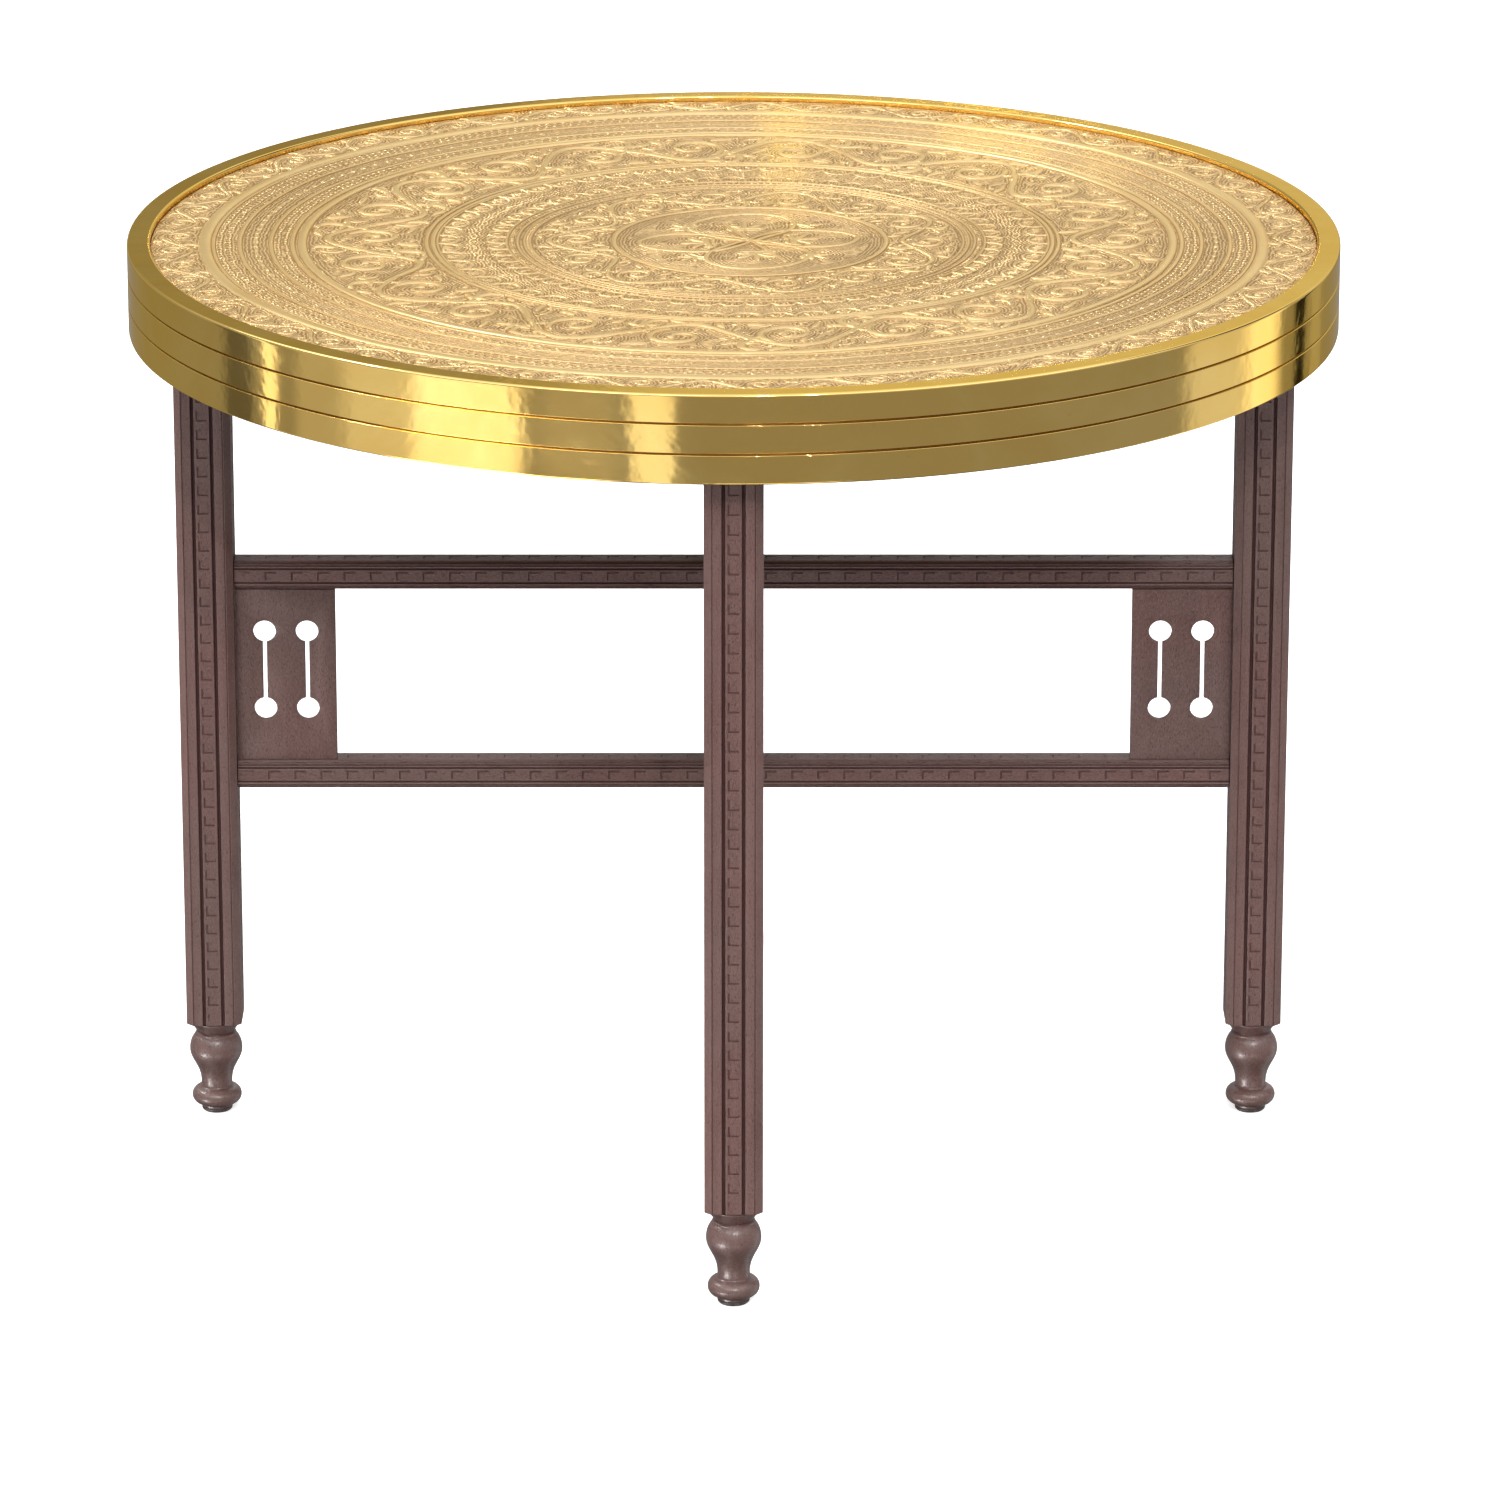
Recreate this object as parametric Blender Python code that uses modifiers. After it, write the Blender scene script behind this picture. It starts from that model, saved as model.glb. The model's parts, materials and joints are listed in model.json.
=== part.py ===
"""Brass tray table.

A round brass tray with a tall banded rim stands on two wooden frames that cross at right
angles.  Each frame has two posts on turned feet, an upper and a lower rail, and a thin
pierced panel beside each post.  The two frames turn on two vertical pivot bolts, so the
stand folds flat once the tray is lifted off.

Frame of reference: origin on the floor under the centre of the tray, +Z up, -Y the front.
"""

import math

import bpy
import bmesh
from mathutils import Vector
from mathutils.geometry import interpolate_bezier

MM = 0.001
GAP = 0.3 * MM                      # clearance between pieces that touch

# Overall sizes
TABLE_HEIGHT = 463.0 * MM
TRAY_RADIUS = 300.0 * MM
LEG_CIRCLE_RADIUS = 264.7 * MM      # centre of the table to the centre of a post

# Tray
RIM_HEIGHT = 43.5 * MM
RIM_BANDS = 3
RIM_SHEET = 1.5 * MM
RIM_GROOVE_WIDTH = 1.2 * MM
RIM_GROOVE_DEPTH = 0.7 * MM
RIM_EDGE_BEVEL = 0.9 * MM
RIM_RETURN = 6.0 * MM               # width of the flange turned in under the hoop
LEDGE_WIDTH = 11.5 * MM
LIP_DROP = 2.8 * MM                 # top of the ledge down to the embossed sheet
SHEET_THICKNESS = 1.2 * MM
SHEET_EDGE_GAP = 0.5 * MM           # between the sheet's raised field and the lip round it
SHEET_FLANGE_DROP = 0.6 * MM        # the sheet's edge, under the lip, lies lower than its field
BOARD_THICKNESS = 12.0 * MM
HOOP_INNER_RADIUS = 282.0 * MM

# Posts
POST_WIDTH = 28.1 * MM
POST_CHAMFER = 3.3 * MM
POST_GROOVE_OFFSET = 4.75 * MM      # centre line of the face to the centre of a groove
POST_GROOVE_WIDTH = 1.9 * MM
POST_GROOVE_DEPTH = 2.0 * MM
POST_BOTTOM = 49.6 * MM
TOP_PAD_RADIUS = 9.0 * MM
TOP_PAD_THICKNESS = 2.0 * MM

# Feet, measured up from the floor
SPIGOT_RADIUS = 5.0 * MM
SPIGOT_LENGTH = 15.0 * MM
COLLAR_TOP_RADIUS = 13.4 * MM
COLLAR_LOW_RADIUS = 10.2 * MM
COLLAR_LOW = 43.9 * MM
QUIRK_RADIUS = 9.5 * MM             # the fine groove between collar and vase
QUIRK = 43.0 * MM
VASE_TOP = 42.2 * MM
VASE_TOP_RADIUS = 9.7 * MM
VASE_WIDEST = 33.5 * MM
VASE_RADIUS = 13.4 * MM
NECK = 15.0 * MM
NECK_RADIUS = 7.85 * MM
RING_CENTRE = 7.7 * MM
RING_CORE_RADIUS = 8.4 * MM
RING_REACH = 4.2 * MM
RING_HALF_HEIGHT = 5.0 * MM
FOOT_BOTTOM = 2.5 * MM
GLIDE_RADIUS = 7.9 * MM
GLIDE_STEM_RADIUS = 1.2 * MM
GLIDE_STEM_TOP = 12.0 * MM

# Rails and panels
RAIL_DEPTH = 16.4 * MM
RAIL_HEIGHT = 14.8 * MM
RAIL_CHAMFER = 2.4 * MM
RAIL_GROOVE_OFFSET = 3.6 * MM
RAIL_GROOVE_WIDTH = 1.1 * MM
RAIL_GROOVE_DEPTH = 1.0 * MM
UPPER_RAIL_TOP = 294.8 * MM         # of the left-right frame
LOWER_RAIL_TOP = 189.9 * MM
TENON_WIDTH = 6.0 * MM
TENON_HEIGHT = 9.0 * MM
TENON_LENGTH = 12.0 * MM
PANEL_THICKNESS = 3.0 * MM
PANEL_INNER_EDGE = 200.0 * MM       # centre of the table to the free edge of a panel
HOLE_RADIUS = 5.7 * MM
HOLE_SPACING = 40.4 * MM            # between the two round holes of a dumbbell
SLOT_WIDTH = 2.0 * MM
DUMBBELL_SPACING = 21.3 * MM
DUMBBELL_CENTRE = 225.4 * MM
DUMBBELL_RISE = 2.4 * MM            # centre of the cut-outs above the centre of the panel

# Pivots
BOLT_RADIUS = 3.0 * MM
BOLT_HEAD_RADIUS = 5.2 * MM
BOLT_HEAD_HEIGHT = 3.4 * MM
WASHER_RADIUS = 5.6 * MM
WASHER_THICKNESS = 1.2 * MM
NUT_RADIUS = 5.8 * MM               # across its corners
NUT_HEIGHT = 5.0 * MM
NUT_DOME_HEIGHT = 3.6 * MM

# Roundness of the turned pieces
TRAY_SEGMENTS = 96
FOOT_SEGMENTS = 18
SMALL_SEGMENTS = 16

# Levels that follow from the sizes above
RIM_BOTTOM = TABLE_HEIGHT - RIM_HEIGHT
LEDGE_INNER_RADIUS = TRAY_RADIUS - LEDGE_WIDTH
RIM_BORE_RADIUS = TRAY_RADIUS - RIM_SHEET
SHEET_TOP = TABLE_HEIGHT - LIP_DROP
SHEET_FLANGE_TOP = SHEET_TOP - SHEET_FLANGE_DROP
BOARD_TOP = SHEET_TOP - SHEET_THICKNESS - GAP
BOARD_BOTTOM = BOARD_TOP - BOARD_THICKNESS
POST_TOP = BOARD_BOTTOM - 2 * GAP - TOP_PAD_THICKNESS
POST_INNER_FACE = LEG_CIRCLE_RADIUS - POST_WIDTH / 2
RAIL_LENGTH = 2 * (POST_INNER_FACE - GAP)
FRAME_OFFSET = RAIL_HEIGHT + WASHER_THICKNESS + 2 * GAP     # one frame's rails above the other's

WOOD = ("stained_wood", (0.165, 0.088, 0.079), 0.45, 0.0)
TURNED_WOOD = ("polished_stained_wood", (0.170, 0.085, 0.076), 0.30, 0.0)
BRASS = ("polished_brass", (0.62, 0.43, 0.17), 0.18, 1.0)
EMBOSSED_BRASS = ("embossed_brass", (0.66, 0.47, 0.26), 0.35, 1.0)
PLYWOOD = ("bare_plywood", (0.45, 0.31, 0.18), 0.70, 0.0)
FELT = ("brown_felt", (0.10, 0.06, 0.045), 0.95, 0.0)
PLASTIC = ("brown_plastic", (0.12, 0.075, 0.068), 0.45, 0.0)
STEEL = ("zinc_plated_steel", (0.55, 0.55, 0.53), 0.30, 1.0)


def clear_scene():
    for obj in list(bpy.data.objects):
        bpy.data.objects.remove(obj, do_unlink=True)


def new_collection(name):
    collection = bpy.data.collections.new(name)
    bpy.context.scene.collection.children.link(collection)
    return collection


def material(spec):
    name, colour, roughness, metallic = spec
    found = bpy.data.materials.get(name)
    if found:
        return found
    made = bpy.data.materials.new(name)
    made.use_nodes = True
    shader = made.node_tree.nodes["Principled BSDF"]
    shader.inputs["Base Color"].default_value = (*colour, 1.0)
    shader.inputs["Roughness"].default_value = roughness
    shader.inputs["Metallic"].default_value = metallic
    made.diffuse_color = (*colour, 1.0)
    return made


def finish(obj, spec, parent=None):
    """Give a sub-part its material and, if it belongs to a turning frame, its parent."""
    obj.data.materials.clear()
    obj.data.materials.append(material(spec))
    if parent:
        obj.parent = parent
    return obj


def evaluated_copy(source, name, collection):
    """A mesh object with the shape of a curve, or of a mesh and its modifiers."""
    bpy.context.view_layer.update()
    graph = bpy.context.evaluated_depsgraph_get()
    mesh = bpy.data.meshes.new_from_object(source.evaluated_get(graph))
    shape = bmesh.new()
    shape.from_mesh(mesh)
    bmesh.ops.remove_doubles(shape, verts=shape.verts, dist=1e-6)
    bmesh.ops.recalc_face_normals(shape, faces=shape.faces)
    shape.to_mesh(mesh)
    shape.free()
    mesh.name = name
    copy = bpy.data.objects.new(name, mesh)
    copy.matrix_world = source.matrix_world
    collection.objects.link(copy)
    bpy.data.objects.remove(source, do_unlink=True)
    return copy


def merge_flat_ends(mesh):
    """Make one face of each flat end that the axis runs through."""
    shape = bmesh.new()
    shape.from_mesh(mesh)
    centres = [vert for vert in shape.verts
               if math.hypot(vert.co.x, vert.co.y) < 1e-7
               and all(abs(face.normal.z) > 0.99999 for face in vert.link_faces)]
    bmesh.ops.dissolve_verts(shape, verts=centres)
    shape.to_mesh(mesh)
    shape.free()


def turned(name, profile, segments, collection, closed=False):
    """Turn a profile of (radius, height) pairs, top to bottom on its outer side, about Z."""
    count = len(profile)
    edges = [(i, i + 1) for i in range(count - 1)]
    if closed:
        edges.append((count - 1, 0))
    mesh = bpy.data.meshes.new(name + "_profile")
    mesh.from_pydata([(radius, 0.0, height) for radius, height in profile], edges, [])
    lathe = bpy.data.objects.new(name + "_profile", mesh)
    collection.objects.link(lathe)
    screw = lathe.modifiers.new("turn", 'SCREW')
    screw.steps = segments
    screw.render_steps = segments
    screw.use_merge_vertices = True
    screw.merge_threshold = 1e-5
    obj = evaluated_copy(lathe, name, collection)
    merge_flat_ends(obj.data)
    obj.data.shade_smooth()
    obj.data.set_sharp_from_angle(angle=math.radians(30))
    return obj


def extruded(name, outlines, thickness, collection):
    """A flat piece in the XY plane, centred on it, from closed outlines; inner ones are holes."""
    curve = bpy.data.curves.new(name + "_outline", 'CURVE')
    curve.dimensions = '2D'
    curve.fill_mode = 'BOTH'
    curve.extrude = thickness / 2
    for outline in outlines:
        spline = curve.splines.new('POLY')
        spline.points.add(len(outline) - 1)
        for point, (x, y) in zip(spline.points, outline):
            point.co = (x, y, 0.0, 1.0)
        spline.use_cyclic_u = True
    flat = bpy.data.objects.new(name + "_outline", curve)
    collection.objects.link(flat)
    return evaluated_copy(flat, name, collection)


def box(name, size, centre, collection):
    mesh = bpy.data.meshes.new(name)
    shape = bmesh.new()
    bmesh.ops.create_cube(shape, size=1.0)
    bmesh.ops.scale(shape, vec=Vector(size), verts=shape.verts)
    bmesh.ops.translate(shape, vec=Vector(centre), verts=shape.verts)
    shape.to_mesh(mesh)
    shape.free()
    obj = bpy.data.objects.new(name, mesh)
    collection.objects.link(obj)
    return obj


def prism(name, radius, low, high, segments, collection):
    """An upright prism, or a cylinder when it has many sides, on the Z axis."""
    mesh = bpy.data.meshes.new(name)
    shape = bmesh.new()
    bmesh.ops.create_cone(shape, cap_ends=True, segments=segments, radius1=radius,
                          radius2=radius, depth=high - low)
    bmesh.ops.translate(shape, vec=Vector((0, 0, (low + high) / 2)), verts=shape.verts)
    shape.to_mesh(mesh)
    shape.free()
    obj = bpy.data.objects.new(name, mesh)
    collection.objects.link(obj)
    return obj


def combine(obj, tool, operation):
    """Cut obj with tool, or join the two, and keep tool as a hidden helper."""
    tool.hide_render = True
    tool.display_type = 'WIRE'
    tool.parent = obj
    step = obj.modifiers.new(operation.lower(), 'BOOLEAN')
    step.operation = operation
    step.solver = 'EXACT'
    step.object = tool


def grooved_section(half_x, half_y, chamfer, faces):
    """Chamfered rectangle; faces gives the grooves (offset, width, depth) on X and Y faces."""
    def side(half_length, grooves):
        """Points along one face from its low end to its high end, as (along, inset)."""
        points = [(-(half_length - chamfer), 0.0)]
        if grooves:
            offset, width, depth = grooves
            for centre in (-offset, offset):
                points.append((centre - width / 2, 0.0))
                points.append((centre, depth))
                points.append((centre + width / 2, 0.0))
        points.append((half_length - chamfer, 0.0))
        return points

    on_x, on_y = faces
    outline = [(half_x - inset, along) for along, inset in side(half_y, on_x)]
    outline += [(-along, half_y - inset) for along, inset in side(half_x, on_y)]
    outline += [(-half_x + inset, -along) for along, inset in side(half_y, on_x)]
    outline += [(along, -half_y + inset) for along, inset in side(half_x, on_y)]
    return outline


def arc(centre_x, centre_y, radius_x, radius_y, start, end, steps):
    """Points along an elliptical arc, angles in degrees, both ends included."""
    points = []
    for i in range(steps + 1):
        angle = math.radians(start + (end - start) * i / steps)
        points.append((centre_x + radius_x * math.cos(angle),
                       centre_y + radius_y * math.sin(angle)))
    return points


def bezier(start, handle_1, handle_2, end, steps):
    """Points along a Bezier curve in the plane, both ends included."""
    knots = [Vector((x, y, 0.0)) for x, y in (start, handle_1, handle_2, end)]
    return [(p.x, p.y) for p in interpolate_bezier(*knots, steps + 1)]


# ---------------------------------------------------------------- tray

def build_rim_band(collection):
    """Brass rim: outer wall in equal bands, flat ledge, inner lip, return under the hoop."""
    outer = [(TRAY_RADIUS - RIM_EDGE_BEVEL, TABLE_HEIGHT),
             (TRAY_RADIUS, TABLE_HEIGHT - RIM_EDGE_BEVEL)]
    for band in range(1, RIM_BANDS):
        level = TABLE_HEIGHT - RIM_HEIGHT * band / RIM_BANDS
        outer.append((TRAY_RADIUS, level + RIM_GROOVE_WIDTH / 2))
        outer.append((TRAY_RADIUS - RIM_GROOVE_DEPTH, level))
        outer.append((TRAY_RADIUS, level - RIM_GROOVE_WIDTH / 2))
    outer.append((TRAY_RADIUS, RIM_BOTTOM + RIM_EDGE_BEVEL))
    outer.append((TRAY_RADIUS - RIM_EDGE_BEVEL, RIM_BOTTOM))
    inner = [(TRAY_RADIUS - RIM_RETURN, RIM_BOTTOM),
             (TRAY_RADIUS - RIM_RETURN, RIM_BOTTOM + SHEET_THICKNESS),
             (RIM_BORE_RADIUS, RIM_BOTTOM + SHEET_THICKNESS),
             (RIM_BORE_RADIUS, TABLE_HEIGHT - RIM_SHEET),
             (LEDGE_INNER_RADIUS + RIM_SHEET, TABLE_HEIGHT - RIM_SHEET),
             (LEDGE_INNER_RADIUS + RIM_SHEET, SHEET_FLANGE_TOP + GAP),
             (LEDGE_INNER_RADIUS, SHEET_FLANGE_TOP + GAP),
             (LEDGE_INNER_RADIUS, TABLE_HEIGHT)]
    return turned("tray_rim_band", outer + inner, TRAY_SEGMENTS, collection, closed=True)


def build_sheet(radius, collection):
    """Embossed sheet: a flat field inside the lip, and a lower flange that the lip covers."""
    field = LEDGE_INNER_RADIUS - SHEET_EDGE_GAP
    bottom = SHEET_TOP - SHEET_THICKNESS
    profile = [(0.0, SHEET_TOP), (field, SHEET_TOP), (field, SHEET_FLANGE_TOP),
               (radius, SHEET_FLANGE_TOP), (radius, bottom), (0.0, bottom)]
    return turned("tray_embossed_sheet", profile, TRAY_SEGMENTS, collection)


def build_board(radius, collection):
    profile = [(0.0, BOARD_TOP), (radius, BOARD_TOP), (radius, BOARD_BOTTOM), (0.0, BOARD_BOTTOM)]
    return turned("tray_core_board", profile, TRAY_SEGMENTS, collection)


def build_hoop(collection):
    outer = RIM_BORE_RADIUS - GAP
    top = BOARD_BOTTOM - GAP
    bottom = RIM_BOTTOM + SHEET_THICKNESS + GAP
    profile = [(outer, top), (outer, bottom), (HOOP_INNER_RADIUS, bottom),
               (HOOP_INNER_RADIUS, top)]
    return turned("tray_hoop", profile, TRAY_SEGMENTS, collection, closed=True)


def build_tray(collection):
    inside = RIM_BORE_RADIUS - GAP
    finish(build_rim_band(collection), BRASS)
    finish(build_sheet(inside, collection), EMBOSSED_BRASS)
    finish(build_board(inside, collection), PLYWOOD)
    finish(build_hoop(collection), WOOD)


# ---------------------------------------------------------------- stand

def build_post(name, rail_centres, collection, cutters):
    """A post on the Z axis; its inner face, which takes the rails' tenons, looks to -X."""
    grooves = (POST_GROOVE_OFFSET, POST_GROOVE_WIDTH, POST_GROOVE_DEPTH)
    section = grooved_section(POST_WIDTH / 2, POST_WIDTH / 2, POST_CHAMFER, (grooves, grooves))
    post = extruded(name, [section], POST_TOP - POST_BOTTOM, collection)
    middle = (POST_TOP + POST_BOTTOM) / 2
    post.location.z = middle
    depth = TENON_LENGTH + GAP
    for number, centre in enumerate(rail_centres):
        mortise = box(f"{name}_mortise_{number}",
                      (2 * depth, TENON_WIDTH + 2 * GAP, TENON_HEIGHT + 2 * GAP),
                      (-POST_WIDTH / 2, 0.0, centre - middle), cutters)
        combine(post, mortise, 'DIFFERENCE')
    socket = prism(f"{name}_socket", SPIGOT_RADIUS + GAP, POST_BOTTOM - middle - SPIGOT_LENGTH,
                   POST_BOTTOM - middle + SPIGOT_LENGTH, SMALL_SEGMENTS, cutters)
    combine(post, socket, 'DIFFERENCE')
    return post


def foot_profile():
    top = POST_BOTTOM - GAP
    spigot = [(0.0, top + SPIGOT_LENGTH - GAP), (SPIGOT_RADIUS, top + SPIGOT_LENGTH - GAP),
              (SPIGOT_RADIUS, top)]
    collar = [(COLLAR_TOP_RADIUS, top), (COLLAR_LOW_RADIUS, COLLAR_LOW), (QUIRK_RADIUS, QUIRK)]
    shoulder = bezier((VASE_TOP_RADIUS, VASE_TOP), (11.3 * MM, 41.2 * MM),
                      (VASE_RADIUS, 37.4 * MM), (VASE_RADIUS, VASE_WIDEST), 4)
    waist = bezier((VASE_RADIUS, VASE_WIDEST), (VASE_RADIUS, 27.5 * MM),
                   (NECK_RADIUS, 24.5 * MM), (NECK_RADIUS, NECK), 6)
    neck = [(NECK_RADIUS, RING_CENTRE + RING_HALF_HEIGHT)]
    ring = arc(RING_CORE_RADIUS, RING_CENTRE, RING_REACH, RING_HALF_HEIGHT, 80, -80, 6)
    bottom = [(GLIDE_RADIUS, FOOT_BOTTOM), (0.0, FOOT_BOTTOM)]
    return spigot + collar + shoulder + waist[1:] + neck + ring + bottom


def build_foot(name, collection, cutters):
    foot = turned(name, foot_profile(), FOOT_SEGMENTS, collection)
    stem_hole = prism(name + "_stem_hole", GLIDE_STEM_RADIUS + GAP, -FOOT_BOTTOM,
                      GLIDE_STEM_TOP + GAP, SMALL_SEGMENTS, cutters)
    combine(foot, stem_hole, 'DIFFERENCE')
    return foot


def build_glide(name, collection):
    top = FOOT_BOTTOM - GAP
    profile = [(0.0, GLIDE_STEM_TOP), (GLIDE_STEM_RADIUS, GLIDE_STEM_TOP),
               (GLIDE_STEM_RADIUS, top), (GLIDE_RADIUS, top), (0.93 * GLIDE_RADIUS, 0.3 * top),
               (0.87 * GLIDE_RADIUS, 0.0), (0.0, 0.0)]
    return turned(name, profile, FOOT_SEGMENTS, collection)


def build_top_pad(name, collection):
    return prism(name, TOP_PAD_RADIUS, POST_TOP + GAP, POST_TOP + GAP + TOP_PAD_THICKNESS,
                 SMALL_SEGMENTS, collection)


def build_rail(name, top, collection, cutters):
    """A rail along X with a tenon at each end and the pivot hole through its middle."""
    grooves = (RAIL_GROOVE_OFFSET, RAIL_GROOVE_WIDTH, RAIL_GROOVE_DEPTH)
    section = grooved_section(RAIL_HEIGHT / 2, RAIL_DEPTH / 2, RAIL_CHAMFER, (None, grooves))
    # The outline's X runs up the rail and its Y across it.
    blank = extruded(name + "_blank", [section], RAIL_LENGTH, collection)
    blank.rotation_euler = (0.0, -math.pi / 2, 0.0)
    bpy.context.view_layer.update()
    blank.data.transform(blank.matrix_world)
    blank.rotation_euler = (0.0, 0.0, 0.0)
    blank.name = name
    blank.location.z = top - RAIL_HEIGHT / 2
    tenons = box(name + "_tenons", (RAIL_LENGTH + 2 * TENON_LENGTH, TENON_WIDTH, TENON_HEIGHT),
                 (0.0, 0.0, 0.0), cutters)
    combine(blank, tenons, 'UNION')
    hole = prism(name + "_pivot_hole", BOLT_RADIUS + GAP, -RAIL_HEIGHT, RAIL_HEIGHT,
                 SMALL_SEGMENTS, cutters)
    combine(blank, hole, 'DIFFERENCE')
    return blank


def dumbbell(centre_x, centre_y):
    """Outline of an upright cut-out: two round holes joined by a narrow slot."""
    lean = math.degrees(math.asin(SLOT_WIDTH / 2 / HOLE_RADIUS))
    reach = HOLE_SPACING / 2
    upper = arc(centre_x, centre_y + reach, HOLE_RADIUS, HOLE_RADIUS, -90 + lean, 270 - lean, 18)
    lower = arc(centre_x, centre_y - reach, HOLE_RADIUS, HOLE_RADIUS, 90 + lean, 450 - lean, 18)
    return upper + lower


def build_panel(name, side, collection):
    """A pierced board between the rails of the left-right frame, on the side given by +-1."""
    low = LOWER_RAIL_TOP + GAP
    high = UPPER_RAIL_TOP - RAIL_HEIGHT - GAP
    inner = side * PANEL_INNER_EDGE
    outer = side * (POST_INNER_FACE - GAP)
    middle = (low + high) / 2
    rectangle = [(inner, low - middle), (outer, low - middle), (outer, high - middle),
                 (inner, high - middle)]
    cut_outs = [dumbbell(side * DUMBBELL_CENTRE + shift, DUMBBELL_RISE)
                for shift in (-DUMBBELL_SPACING / 2, DUMBBELL_SPACING / 2)]
    panel = extruded(name, [rectangle] + cut_outs, PANEL_THICKNESS, collection)
    front = RAIL_DEPTH / 2 - RAIL_CHAMFER
    panel.rotation_euler = (math.pi / 2, 0.0, 0.0)
    panel.location = (0.0, -(front - PANEL_THICKNESS / 2), middle)
    return panel


def build_frame(name, ends, lift, collection, cutters):
    """One frame along X; ends names its +X and -X legs, and lift raises its rails and panels."""
    hinge = bpy.data.objects.new(name + "_pivot_axis", None)
    collection.objects.link(hinge)
    rail_tops = {"upper": UPPER_RAIL_TOP + lift, "lower": LOWER_RAIL_TOP + lift}
    rail_centres = [top - RAIL_HEIGHT / 2 for top in rail_tops.values()]
    for level, top in rail_tops.items():
        finish(build_rail(f"{name}_{level}_rail", top, collection, cutters), WOOD, hinge)
    for end, side in zip(ends, (1, -1)):
        turn = 0.0 if side > 0 else math.pi
        leg = [(build_post(end + "_post", rail_centres, collection, cutters), WOOD),
               (build_foot(end + "_foot", collection, cutters), TURNED_WOOD),
               (build_glide(end + "_glide", collection), PLASTIC),
               (build_top_pad(end + "_top_pad", collection), FELT)]
        for piece, spec in leg:
            piece.location.x = side * LEG_CIRCLE_RADIUS
            piece.rotation_euler.z = turn
            finish(piece, spec, hinge)
        panel = build_panel(end + "_panel", side, collection)
        panel.location.z += lift
        finish(panel, WOOD, hinge)
    return hinge


# ---------------------------------------------------------------- pivots

def build_bolt(name, head_base, shank_end, collection):
    dome = arc(0.0, head_base, BOLT_HEAD_RADIUS, BOLT_HEAD_HEIGHT, 90, 0, 5)
    profile = dome + [(BOLT_RADIUS, head_base), (BOLT_RADIUS, shank_end), (0.0, shank_end)]
    return turned(name, profile, SMALL_SEGMENTS, collection)


def build_washer(name, bottom, collection):
    top = bottom + WASHER_THICKNESS
    bore = BOLT_RADIUS + GAP
    profile = [(WASHER_RADIUS, top), (WASHER_RADIUS, bottom), (bore, bottom), (bore, top)]
    return turned(name, profile, SMALL_SEGMENTS, collection, closed=True)


def build_dome_nut(name, top, collection, cutters):
    nut = prism(name, NUT_RADIUS, top - NUT_HEIGHT, top, 6, collection)
    inset = 0.8 * NUT_RADIUS
    seam = top - NUT_HEIGHT + 0.5 * MM      # the dome starts a little inside the hexagon
    profile = [(0.0, seam)] + arc(0.0, seam, inset, NUT_DOME_HEIGHT, 0, -90, 6)
    dome = turned(name + "_dome", profile, SMALL_SEGMENTS, cutters)
    combine(nut, dome, 'UNION')
    thread = prism(name + "_thread", BOLT_RADIUS + GAP, top - NUT_HEIGHT - 1.5 * MM,
                   top + NUT_HEIGHT, SMALL_SEGMENTS, cutters)
    combine(nut, thread, 'DIFFERENCE')
    return nut


def build_pivot(name, lower_rail_top, collection, cutters):
    """Bolt, washers and dome nut through two rails, the upper one resting on a spacer."""
    rail_bottom = lower_rail_top - RAIL_HEIGHT
    upper_rail_top = lower_rail_top + FRAME_OFFSET
    head_base = upper_rail_top + WASHER_THICKNESS + 2 * GAP
    nut_top = rail_bottom - WASHER_THICKNESS - 2 * GAP
    finish(build_bolt(name + "_pivot_bolt", head_base, nut_top - NUT_HEIGHT - 1.0 * MM,
                      collection), STEEL)
    finish(build_washer(name + "_head_washer", upper_rail_top + GAP, collection), STEEL)
    finish(build_washer(name + "_spacer_washer", lower_rail_top + GAP, collection), STEEL)
    finish(build_washer(name + "_nut_washer", rail_bottom - GAP - WASHER_THICKNESS, collection),
           STEEL)
    finish(build_dome_nut(name + "_dome_nut", nut_top, collection, cutters), STEEL)


def main():
    clear_scene()
    table = new_collection("brass_tray_table")
    cutters = new_collection("brass_tray_table_cutters")
    build_tray(table)
    build_frame("side_frame", ("right", "left"), 0.0, table, cutters)
    front_frame = build_frame("front_frame", ("front", "back"), FRAME_OFFSET, table, cutters)
    front_frame.rotation_euler.z = -math.pi / 2
    build_pivot("upper", UPPER_RAIL_TOP, table, cutters)
    build_pivot("lower", LOWER_RAIL_TOP, table, cutters)


main()
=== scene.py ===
"""Looks of the brass tray table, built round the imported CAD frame.

Lengths in the pattern and section code are in millimetres, and everything placed in the
scene is in metres.  -Y is the front, +X the right, +Z up.
"""
import json
import math

import bmesh
import bpy
import numpy as np
from mathutils import Matrix, Vector

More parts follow.
